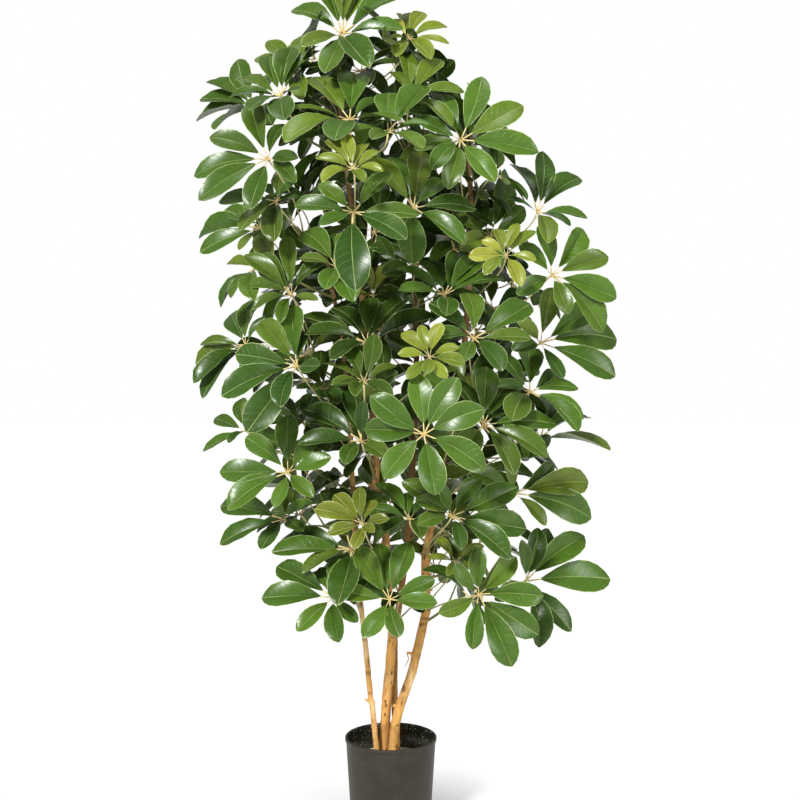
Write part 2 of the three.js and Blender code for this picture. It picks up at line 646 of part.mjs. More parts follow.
/**
 * One leaflet's middle surface: its outline beyond the hub, with the normal at each of its points, and its
 * root. A grown leaflet ends in a blunt edge, a young one in a point.
 */
function leafletShape(spec, index, [bend, swing, length]) {
  const { out, up, left } = axesOf(spec);
  const place = spec.places[index];
  const angle = THREE.MathUtils.degToRad(place.angle + swing);
  const reach = place.reach * length;
  const lean = place.lean + bend;
  const roll = THREE.MathUtils.degToRad(BLADE.rollSpread * (noise(spec.seed, index * 5 + 4) - 0.5));
  const outward = up.clone().multiplyScalar(Math.cos(angle)).addScaledVector(left, Math.sin(angle));
  const along = BLADE.droop.map((droop, stretch) => {
    const down = THREE.MathUtils.degToRad(droop + lean * BLADE.leanShare[stretch]);
    return outward.clone().multiplyScalar(Math.cos(down)).addScaledVector(out, -Math.sin(down));
  });
  const across = along.map((direction) => out.clone().cross(outward).applyAxisAngle(direction, roll));
  const normals = along.map((direction, stretch) => direction.clone().cross(across[stretch]));
  const belly = spec.hub.clone().addScaledVector(along[0], reach * BLADE.widest);
  const tip = belly.clone().addScaledVector(along[1], reach * (1 - BLADE.widest));
  const edge = (centre, stretch, width) => centre.clone().addScaledVector(across[stretch], width * reach);
  const end = spec.pointed ? [tip] : [edge(tip, 1, -BLADE.tipHalfWidth), edge(tip, 1, BLADE.tipHalfWidth)];
  return {
    outline: [edge(belly, 0, -BLADE.halfWidth), ...end, edge(belly, 0, BLADE.halfWidth)],
    normals: [normals[0], ...end.map(() => normals[1]), normals[0]],
    root: spec.hub.clone().addScaledVector(along[0], reach * BLADE.probeRoot),
    rootAcross: across[0],
  };
}

/** The faces of a blade whose edge runs through the given points: above, below, and the rim between. */
function bladeFaces(edge, lower) {
  const [belly, last] = [edge.length - 2, edge.length - 1];
  const top = [[0, 1, belly], [0, belly, last]];
  for (let corner = 2; corner < belly; corner += 1) top.push([1, corner, corner + 1]);
  const faces = top.map((face) => face.map((corner) => edge[corner]));
  return [
    ...faces, ...faces.map(([p, q, r]) => [lower(p), lower(r), lower(q)]),
    ...edge.slice(1).flatMap((q, i) => [[lower(edge[i]), lower(q), q], [lower(edge[i]), q, edge[i]]]),
  ];
}

/** A leaflet on its own, thicker by clear on each side, for testing whether its place is free. */
function leafletProbe({ outline, normals, root, rootAcross }, clear) {
  const half = BLADE.thickness / 2 + clear;
  const rootHalf = BLADE.rootHalf + 2 * clear;
  const rootEdge = [-1, 1].map((side) => root.clone().addScaledVector(rootAcross, side * rootHalf));
  const edge = [rootEdge[0], ...outline, rootEdge[1]];
  const shift = [normals[0], ...normals, normals[0]];
  const layer = (side) => edge.map((point, i) => point.clone().addScaledVector(shift[i], side * half));
  const points = [...layer(1), ...layer(-1)];
  const lower = (i) => i + edge.length;
  const last = edge.length - 1;
  const faces = [...bladeFaces([...edge.keys()], lower), [lower(0), 0, last], [lower(0), last, lower(last)]];
  return solidOf(points, faces);
}

/** The path of a stalk from its hub down to its root, bowed by [side, rise]. */
function stalkPath(spec, root, [side, rise]) {
  const { out } = axesOf(spec);
  const start = spec.hub.clone().addScaledVector(out, -STALK.hubDrop);
  const span = start.distanceTo(root);
  const sideways = UP.clone().cross(start.clone().sub(root)).normalize();
  const bow = sideways.multiplyScalar(side).addScaledVector(UP, rise);
  const [atHub, atRoot] = STALK.bowShare;
  const nearHub = start.clone().addScaledVector(out, -STALK.straight * span).addScaledVector(bow, atHub);
  const bend = root.clone().lerp(start, STALK.bendAt).addScaledVector(UP, STALK.arch * span);
  const nearRoot = bend.addScaledVector(bow, atRoot);
  const curve = new THREE.CubicBezierCurve3(start, nearHub, nearRoot, root);
  return curve.getPoints(span > STALK.longSpan ? STALK.steps : STALK.steps - 1);
}

/** The head with its stalk as one closed body: hub, leaflets and stalk share their points. */
function headSolid(spec) {
  const { leaflets, path } = spec;
  const { out, up, left } = axesOf(spec);
  const count = leaflets.length;
  const parted = partings(spec).map((angle) => THREE.MathUtils.degToRad(angle));
  const half = BLADE.thickness / 2;
  const ring = parted.slice(0, count).map((angle) => spec.hub.clone()
    .addScaledVector(up, HUB.radius * Math.cos(angle))
    .addScaledVector(left, HUB.radius * Math.sin(angle)));
  const points = [spec.hub.clone().addScaledVector(out, HUB.crown)];
  const faces = [];
  const add = (point, normal) => {
    points.push(point.clone().addScaledVector(normal, half), point.clone().addScaledVector(normal, -half));
    return points.length - 2;
  };
  const lower = (i) => i + 1;
  const hubRing = ring.map((point) => add(point, out));
  leaflets.forEach((leaflet, i) => {
    const [a, d] = [hubRing[i], hubRing[(i + 1) % count]];
    faces.push([0, a, d]);
    if (leaflet) {
      const outline = leaflet.outline.map((corner, which) => add(corner, leaflet.normals[which]));
      faces.push(...bladeFaces([a, ...outline, d], lower));
    } else {
      faces.push([lower(a), lower(d), d], [lower(a), d, a]);
    }
  });
  const radii = path.map(() => STALK.radius);
  const base = points.length;
  const { sides } = STALK;
  points.push(...ringsAlong(path, radii, sides, up));
  faces.push(...ringFaces(path.length, sides, false).map((face) => face.map((i) => i + base)));
  // The hub's underside narrows to the stalk: its ring and the stalk's corners are joined in order of angle.
  const stalkAngle = (j) => (2 * Math.PI * (j + 0.5)) / sides;
  const firstCorner = Math.ceil((parted[0] * sides) / (2 * Math.PI) - 0.5);
  const hubPoint = (i) => lower(hubRing[i % count]);
  const stalkPoint = (j) => base + (((j % sides) + sides) % sides);
  let [i, j] = [0, firstCorner];
  while (i < count || j < firstCorner + sides) {
    if (j === firstCorner + sides || (i < count && parted[i + 1] <= stalkAngle(j + 1))) {
      faces.push([stalkPoint(j), hubPoint(i + 1), hubPoint(i)]);
      i += 1;
    } else {
      faces.push([stalkPoint(j), stalkPoint(j + 1), hubPoint(i)]);
      j += 1;
    }
  }
  return solidOf(points, faces);
}

/** The box round a solid. */
function boxOf(solid) {
  const { min, max } = solid.boundingBox();
  return new THREE.Box3(new THREE.Vector3(...min), new THREE.Vector3(...max));
}

/** Everything already in place, which the next leaflet or stalk has to stay clear of. */
class Space {
  constructor() {
    this.taken = [];
  }

  /** Takes up the room of a solid. An owner's own later pieces may meet it. */
  take(solid, owner) {
    this.taken.push({ solid, owner, box: boxOf(solid) });
  }

  /** Whether a solid meets nothing that is in place, apart from what the given owners hold. */
  isFree(solid, ...owners) {
    const box = boxOf(solid);
    return this.taken.every((other) => owners.includes(other.owner) || !other.box.intersectsBox(box)
      || other.solid.intersect(solid).getMesh().triVerts.length === 0);
  }
}

/** A closed geometry as a solid. */
function geometrySolid(geometry) {
  const { points, faces } = meshOf(geometry);
  return solidOf(points, faces);
}

/** The path of the twig from its trunk to a little past the fork where its stalks part. */
function twigPath(root, fork, [side, rise]) {
  const way = fork.clone().sub(root).normalize();
  const sideways = UP.clone().cross(way).normalize();
  const middle = root.clone().lerp(fork, 0.5).addScaledVector(sideways, side * TWIG.bowShare);
  middle.z += rise * TWIG.bowShare - TWIG.sag;
  return [root, middle, fork.clone().addScaledVector(way, TWIG.past)];
}

/** Where the stalks of a spray of several heads part. */
function forkOf(root, heads) {
  const total = heads.reduce((sum, spec) => sum.add(spec.hub), new THREE.Vector3());
  const middle = total.divideScalar(heads.length);
  const fork = root.clone().lerp(middle, TWIG.fork[0]);
  fork.z = root.z + (middle.z - root.z) * TWIG.fork[1];
  return fork;
}

/** A tube of one radius, square unless it is a stalk's own. */
function evenTube(path, radius, sides = TWIG.sides) {
  return tube(path, path.map(() => radius), sides);
}

/** Gives a spray its twig, where it forks, and each head its stalk, bowed clear of what is there. */
function growStalks(spray, space) {
  const root = trunkAt(TRUNKS[spray.trunk], spray.from).centre;
  const forks = spray.heads.length > 1;
  const foot = forks ? forkOf(root, spray.heads) : root;
  if (forks) {
    const bow = BOWS.find((choice) => {
      const [start, middle, end] = twigPath(root, foot, choice);
      const probed = [start.clone().lerp(middle, TWIG.probeFrom), middle, end];
      return space.isFree(evenTube(probed, TWIG.radius + TWIG.clear), spray.trunk, ...spray.heads);
    });
    spray.twig = evenTube(twigPath(root, foot, bow ?? BOWS[0]), TWIG.radius);
  }
  spray.heads.forEach((spec) => {
    const bow = BOWS.find((choice) => {
      const probe = evenTube(stalkPath(spec, foot, choice), STALK.radius + STALK.clear);
      return space.isFree(probe, spray, spec, spray.trunk);
    });
    spec.path = stalkPath(spec, foot, bow ?? BOWS[0]);
    space.take(evenTube(spec.path, STALK.radius, STALK.sides), spray);
  });
  if (forks) space.take(spray.twig, spray);
}

/** Gives a head its leaflets, each bent clear of what is there, or left out where no place is free. */
function growLeaflets(spec, space) {
  const own = new Space();
  spec.leaflets = spec.places.map((_, index) => {
    const shape = BENDS.map((bend) => leafletShape(spec, index, bend)).find((leaflet) => (
      own.isFree(leafletProbe(leaflet, GAP)) && space.isFree(leafletProbe(leaflet, BLADE.clear), spec)));
    if (!shape) return null;
    own.take(leafletProbe(shape, 0), spec);
    return shape;
  });
  own.taken.forEach(({ solid }) => space.take(solid, spec));
}

// Each thing that grows takes up its room: the trunks, a little round every hub, then twigs and stalks, and
// last the leaflets, which can bend round the rest.
const space = new Space();
const trunks = Object.fromEntries(Object.keys(TRUNKS).map((key) => [key, trunkWithSpurs(key)]));
Object.entries(trunks).forEach(([key, solid]) => space.take(solid, key));
const sprays = [...FRONT_SPRAYS, ...backSprays()];
sprays.forEach((spray, index) => spray.heads.forEach((spec, which) => {
  spec.seed = index * 4 + which + 1;
  spec.pointed = Boolean(spray.young);
  spec.places = placesOf(spec);
  space.take(geometrySolid(new THREE.IcosahedronGeometry(HUB.keepOut).translate(...spec.hub)), spec);
}));
sprays.forEach((spray) => growStalks(spray, space));
sprays.forEach((spray) => spray.heads.forEach((spec) => growLeaflets(spec, space)));

const plant = new THREE.Group();

// The pot: an open tapered cup with a thin lip.
const widening = (POT.rimRadius - POT.lipOut - POT.footRadius) / POT.height;
const innerAt = (z) => POT.footRadius - POT.wall + widening * z;
const lipFoot = POT.height - POT.lip;
const cup = turned([
  [0, 0], [POT.footRadius, 0], [innerAt(lipFoot) + POT.wall, lipFoot],
  [POT.rimRadius, lipFoot + POT.lipSlope], [POT.rimRadius, POT.height], [innerAt(POT.height), POT.height],
  [innerAt(POT.floor), POT.floor], [0, POT.floor],
], POT.sides);
plant.add(mesh("pot", solidOf(cup.points, cup.faces), COLOURS.pot));

// The bed: a rough plaster filling with a plain hole for each trunk.
const bedFoot = POT.floor + GAP;
const bedRadius = (z) => innerAt(z) - GAP / Math.cos(Math.PI / POT.sides);
const bed = turned([
  [0, bedFoot], [bedRadius(bedFoot), bedFoot], [bedRadius(BED.top), BED.top],
  [bedRadius(BED.top) * BED.ring, BED.top], [0, BED.top],
], BED.sides);
bed.points.forEach((point, index) => {
  const isInside = Math.hypot(point.x, point.y) < bedRadius(BED.top) - BED.flatRim;
  if (isInside && point.z > (bedFoot + BED.top) / 2) {
    point.z += BED.lump * (noise(BED.seed, index) - BED.lumpLow);
  }
});
const bedSolid = Object.keys(TRUNKS).reduce(
  (solid, key) => solid.subtract(trunkSolid(TRUNKS[key], GAP)), solidOf(bed.points, bed.faces));
plant.add(mesh("planting_bed", bedSolid, COLOURS.bed));

Object.entries(trunks).forEach(([key, solid]) => plant.add(mesh(`trunk_${key}`, solid, COLOURS.bark)));

sprays.forEach((spray) => {
  const grown = [...spray.heads.map(headSolid), ...(spray.twig ? [spray.twig] : [])];
  const joined = grown.reduce((solid, next) => solid.add(next));
  const seated = joined.subtract(trunkSolid(TRUNKS[spray.trunk], GAP));
  plant.add(mesh(spray.name, seated, spray.young ? COLOURS.young : COLOURS.leaf));
});

export default plant;
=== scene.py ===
"""A potted umbrella plant: heads of glossy leaflets on long stalks, bare woody trunks and a dark pot.

Lengths are in metres and angles in degrees. The front is towards -Y, +Z is up, and the origin is the
middle of the pot's foot, on the floor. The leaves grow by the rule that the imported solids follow, and each
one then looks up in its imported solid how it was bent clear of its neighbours.
"""
import sys

import logging
import math
from dataclasses import dataclass
from enum import Enum, IntEnum
from typing import Callable, NamedTuple, Sequence

import bmesh
import bpy
import numpy as np
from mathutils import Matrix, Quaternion, Vector
from mathutils.kdtree import KDTree


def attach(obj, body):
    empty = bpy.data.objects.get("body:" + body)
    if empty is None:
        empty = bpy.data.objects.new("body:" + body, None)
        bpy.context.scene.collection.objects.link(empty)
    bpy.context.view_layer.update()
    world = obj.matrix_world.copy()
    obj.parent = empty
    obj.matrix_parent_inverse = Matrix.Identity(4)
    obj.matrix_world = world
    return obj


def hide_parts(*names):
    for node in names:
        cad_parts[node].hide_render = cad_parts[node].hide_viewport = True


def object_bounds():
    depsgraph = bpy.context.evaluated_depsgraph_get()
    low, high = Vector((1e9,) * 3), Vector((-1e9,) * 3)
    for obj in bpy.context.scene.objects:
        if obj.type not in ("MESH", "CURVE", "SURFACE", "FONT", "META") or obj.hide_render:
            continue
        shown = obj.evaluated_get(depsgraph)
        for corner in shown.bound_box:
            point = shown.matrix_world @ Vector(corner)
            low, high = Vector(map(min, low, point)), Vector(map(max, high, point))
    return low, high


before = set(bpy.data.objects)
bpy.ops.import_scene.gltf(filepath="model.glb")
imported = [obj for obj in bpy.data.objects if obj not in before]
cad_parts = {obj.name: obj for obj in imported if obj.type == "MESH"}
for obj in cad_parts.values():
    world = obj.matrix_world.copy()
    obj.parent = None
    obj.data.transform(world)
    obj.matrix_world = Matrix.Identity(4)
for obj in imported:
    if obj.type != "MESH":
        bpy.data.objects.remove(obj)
CAD_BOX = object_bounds()
LOG = logging.getLogger("umbrella_plant")
UP = Vector((0.0, 0.0, 1.0))
Pair = tuple[float, float]
Triple = tuple[float, float, float]
Colour = Triple
Piece = bpy.types.Object
Socket = bpy.types.NodeSocket
Paint = Socket | Colour
EVEN: Triple = (1.0, 1.0, 1.0)
SEED_STEP, DRAW_STEP, NOISE_SCALE = 127.1, 311.7, 43758.5453


class Stem(Enum):
    """The four woody trunks, from left to right at the pot."""

    A = "a"
    B = "b"
    C = "c"
    D = "d"


class Age(Enum):
    """How old a spray of leaves is, which sets its colours and the form of its blades."""

    OLD = "old"
    YOUNG = "young"


class Slot(Enum):
    """The material slots of the record."""

    POT = "pot_plastic"
    PLASTER = "plaster"
    BARK = "bark"
    LEAF = "leaf"
    YOUNG_LEAF = "young_leaf"


class Skin(IntEnum):
    """The places of a spray's materials on its object."""

    UPPER = 0
    UNDER = 1
    STALK = 2


class Chance(IntEnum):
    """Which of the random numbers of a leaflet, or of its whole head, is meant."""

    FOLD = 1
    WIDTH = 2
    TWIST = 3
    WAVE = 4
    PHASE = 5
    SIDEWAYS = 6
    GREEN = 7
    YELLOW = 8
    BELLY = 9
    HEAD_GREEN = 77
    HEAD_BELLY = 78


class Bend(NamedTuple):
    """One way to bend a leaflet clear: more droop and swing, and its share of its length."""

    droop: float
    swing: float
    length: float


class Bow(NamedTuple):
    """One way to bow a stalk clear: to its side and upwards."""

    side: float
    rise: float


BENDS = tuple(Bend(*row) for row in (
    (0, 0, 1), (9, 0, 1), (-9, 0, 1), (0, 6, 1), (0, -6, 1), (18, 0, 1), (-18, 0, 1), (10, 6, 1), (10, -6, 1),
    (-10, 6, 1), (-10, -6, 1), (28, 0, 1), (-28, 0, 1), (0, 0, 0.84), (14, 0, 0.84), (-14, 0, 0.84),
    (38, 0, 0.95), (-38, 0, 0.95), (28, 0, 0.8), (-28, 0, 0.8), (50, 0, 0.9), (-50, 0, 0.9), (0, 0, 0.68),
    (20, 0, 0.68), (-20, 0, 0.68), (62, 0, 0.8), (-62, 0, 0.8),
))
BOWS = tuple(Bow(*row) for row in (
    (0, 0), (0.016, 0), (-0.016, 0), (0, 0.016), (0, -0.016), (0.030, 0), (-0.030, 0), (0, 0.030),
    (0, -0.030), (0.026, 0.026), (-0.026, 0.026), (0.026, -0.026), (-0.026, -0.026), (0.048, 0), (-0.048, 0),
    (0, 0.048), (0, -0.048), (0.066, 0.020), (-0.066, 0.020), (0.040, -0.050), (-0.040, -0.050),
))


def noise(seed: float, step: float) -> float:
    """A number from 0 to 1 that looks random, but is always the same for a seed and one of its steps."""
    value = math.sin(seed * SEED_STEP + step * DRAW_STEP) * NOISE_SCALE
    return value - math.floor(value)


def smooth(value: np.ndarray, low: float, high: float) -> np.ndarray:
    """Runs softly from 0 at low to 1 at high."""
    share = np.clip((value - low) / (high - low), 0.0, 1.0)
    return share * share * (3 - 2 * share)


def unit_rows(rows: np.ndarray) -> np.ndarray:
    """Gives each row of an array the length 1."""
    return rows / np.maximum(np.linalg.norm(rows, axis=1, keepdims=True), 1e-12)


class Station(NamedTuple):
    """One ring of a trunk: its centre and radius."""

    x: float
    y: float
    z: float
    radius: float


class Spur(NamedTuple):
    """A short dead stub: from a point inside its trunk to its broken tip, with both radii."""

    start: Triple
    end: Triple
    radii: Pair


TRUNK_FOOT = 0.024
TRUNK_STATIONS = {
    Stem.A: (
        (-0.025, -0.012, TRUNK_FOOT, 0.0048), (-0.025, -0.012, 0.136, 0.0048),
        (-0.032, -0.014, 0.209, 0.0047), (-0.033, -0.014, 0.215, 0.0058), (-0.035, -0.014, 0.222, 0.0047),
        (-0.0455, -0.012, 0.329, 0.0047), (-0.060, -0.008, 0.444, 0.0045), (-0.068, -0.004, 0.623, 0.0044),
        (-0.074, 0.000, 0.756, 0.0042), (-0.096, 0.008, 0.900, 0.0038), (-0.118, 0.010, 1.010, 0.0032),
    ),
    Stem.B: (
        (-0.012, 0.008, TRUNK_FOOT, 0.0087), (-0.012, 0.008, 0.136, 0.0087), (-0.008, 0.006, 0.204, 0.0086),
        (0.003, 0.004, 0.329, 0.0082), (-0.004, 0.000, 0.420, 0.0072), (-0.009, -0.002, 0.502, 0.0068),
        (-0.017, -0.004, 0.560, 0.0064), (-0.028, -0.006, 0.586, 0.0070), (-0.024, -0.006, 0.623, 0.0058),
        (-0.036, -0.006, 0.760, 0.0056), (-0.049, -0.006, 0.910, 0.0054), (-0.070, -0.008, 1.090, 0.0046),
        (-0.093, -0.010, 1.282, 0.0036), (-0.088, -0.016, 1.345, 0.0028),
    ),
    Stem.C: (
        (0.010, 0.020, TRUNK_FOOT, 0.0062), (0.010, 0.020, 0.136, 0.0062), (0.006, 0.026, 0.215, 0.0060),
        (0.006, 0.033, 0.315, 0.0058), (0.018, 0.040, 0.400, 0.0058), (0.031, 0.046, 0.497, 0.0058),
        (0.040, 0.058, 0.640, 0.0054), (0.046, 0.070, 0.800, 0.0050), (0.042, 0.080, 0.960, 0.0046),
        (0.036, 0.078, 1.100, 0.0040), (0.030, 0.070, 1.230, 0.0030),
    ),
    Stem.D: (
        (0.004, -0.010, TRUNK_FOOT, 0.0086), (0.004, -0.010, 0.136, 0.0086), (0.008, -0.010, 0.176, 0.0085),
        (0.015, -0.010, 0.205, 0.0088), (0.023, -0.010, 0.227, 0.0085), (0.036, -0.010, 0.263, 0.0082),
        (0.045, -0.010, 0.300, 0.0082), (0.060, -0.012, 0.366, 0.0080), (0.061, -0.012, 0.373, 0.0089),
        (0.061, -0.012, 0.381, 0.0079), (0.061, -0.012, 0.408, 0.0080), (0.060, -0.014, 0.469, 0.0072),
        (0.084, -0.014, 0.600, 0.0064), (0.124, -0.012, 0.791, 0.0056), (0.138, -0.008, 0.950, 0.0050),
        (0.140, -0.010, 1.080, 0.0042), (0.132, -0.016, 1.180, 0.0030),
    ),
}
SPURS = {
    Stem.A: (Spur((-0.034, -0.014, 0.216), (-0.044, -0.018, 0.221), (0.0026, 0.0016)),),
    Stem.B: (Spur((-0.028, -0.006, 0.586), (-0.039, -0.012, 0.594), (0.0034, 0.0022)),),
    Stem.C: (Spur((0.030, 0.046, 0.490), (0.043, 0.040, 0.498), (0.0030, 0.0018)),),
    Stem.D: (
        Spur((0.014, -0.012, 0.207), (0.004, -0.015, 0.210), (0.0042, 0.0028)),
        Spur((0.041, -0.010, 0.296), (0.029, -0.014, 0.302), (0.0034, 0.0016)),
        Spur((0.061, -0.012, 0.408), (0.072, -0.015, 0.411), (0.0030, 0.0020)),
    ),
}


def stations_of(stem: Stem) -> list[Station]:
    """The rings of a trunk, from its foot up."""
    return [Station(*row) for row in TRUNK_STATIONS[stem]]


def trunk_point(stem: Stem, height: float) -> Vector:
    """The middle of a trunk at a height.

    Args:
        stem: The trunk.
        height: The height.

    Returns:
        The point.
    """
    rows = stations_of(stem)
    heights = [row.z for row in rows]
    x = float(np.interp(height, heights, [row.x for row in rows]))
    y = float(np.interp(height, heights, [row.y for row in rows]))
    return Vector((x, y, height))


def nearest_stem(hub: Vector, height: float, spare: float) -> Stem:
    """The trunk nearest to a hub at a height, of those that reach further up than that by spare."""
    tall = [stem for stem in Stem if stations_of(stem)[-1].z > height + spare]
    return min(tall, key=lambda stem: (trunk_point(stem, height) - hub).length)


@dataclass(frozen=True)
class Eye:
    """The eye of the front view, along whose sight lines the heads are placed.

    The view is a sheet on the plane y = 0, ruled in squares of width square. The eye looks straight at the
    square in column and row middle.
    """

    x: float = 0.016
    z: float = 0.740
    distance: float = 1.870
    middle: int = 400
    square: float = 0.00175

    def hub(self, across: float, up: float, depth: float) -> Vector:
        """Where a hub is whose y is depth, seen on the sheet at x across and z up."""
        scale = (self.distance + depth) / self.distance
        return Vector((self.x + (across - self.x) * scale, depth, self.z + (up - self.z) * scale))

    def sight(self, column: float, row: float) -> Vector:
        """The direction of the sight line through a square of the sheet."""
        across, above = (column - self.middle) * self.square, (self.middle - row) * self.square
        return Vector((across, self.distance, above)).normalized()

    def to(self, place: Vector) -> Vector:
        """The way from the eye to a place."""
        return place - Vector((self.x, -self.distance, self.z))

    def square_of(self, place: Vector) -> Pair:
        """The column and row of the sheet in which a place is seen."""
        way = self.to(place)
        scale = self.distance / way.y / self.square
        return self.middle + way.x * scale, self.middle - way.z * scale


EYE = Eye()
Tip = tuple[int, int]


class Axes(NamedTuple):
    """A head's own axes: out of its face, up its face, and to the left of that."""

    out: Vector
    up: Vector
    left: Vector


class Look(NamedTuple):
    """How a head differs from others: how far its green is a young one, its tone and its blades' width."""

    fresh: float = 0.0
    tone: float = 1.0
    width: float = 1.0


@dataclass
class Head:
    """One head of leaflets.

    It faces turn degrees from the front to its right, and lift degrees above the level. Its leaflets are
    either aimed at tips, the squares of the sheet where their tips are seen, or evenly spread. Then lead is
    the direction of the longest one, in degrees from straight up to the left, reach is its length, and the
    leaflet across from it is shorter by the share taper.
    """

    hub: Vector
    reach: float
    turn: float
    lift: float
    lead: float = 0.0
    taper: float = 0.3
    count: int = 8
    tips: tuple[Tip, ...] = ()
    seed: int = 0
    look: Look = Look()

    def axes(self) -> Axes:
        """The head's own axes."""
        azimuth, rise = math.radians(self.turn), math.radians(self.lift)
        level = math.cos(rise)
        out = Vector((math.sin(azimuth) * level, -math.cos(azimuth) * level, math.sin(rise)))
        up = (UP - out * out.z).normalized()
        return Axes(out, up, out.cross(up))


def aimed(across: float, up: float, depth: float, reach: float, turn: float, lift: float, *tips: Tip) -> Head:
    """Makes a head with its hub seen on the sheet at x across and z up, and its leaflets aimed at tips."""
    return Head(EYE.hub(across, up, depth), reach, turn, lift, tips=tips)


@dataclass
class Spray:
    """One or two heads whose stalks leave a trunk together."""

    name: str
    stem: Stem
    start: float
    heads: list[Head]
    age: Age = Age.OLD


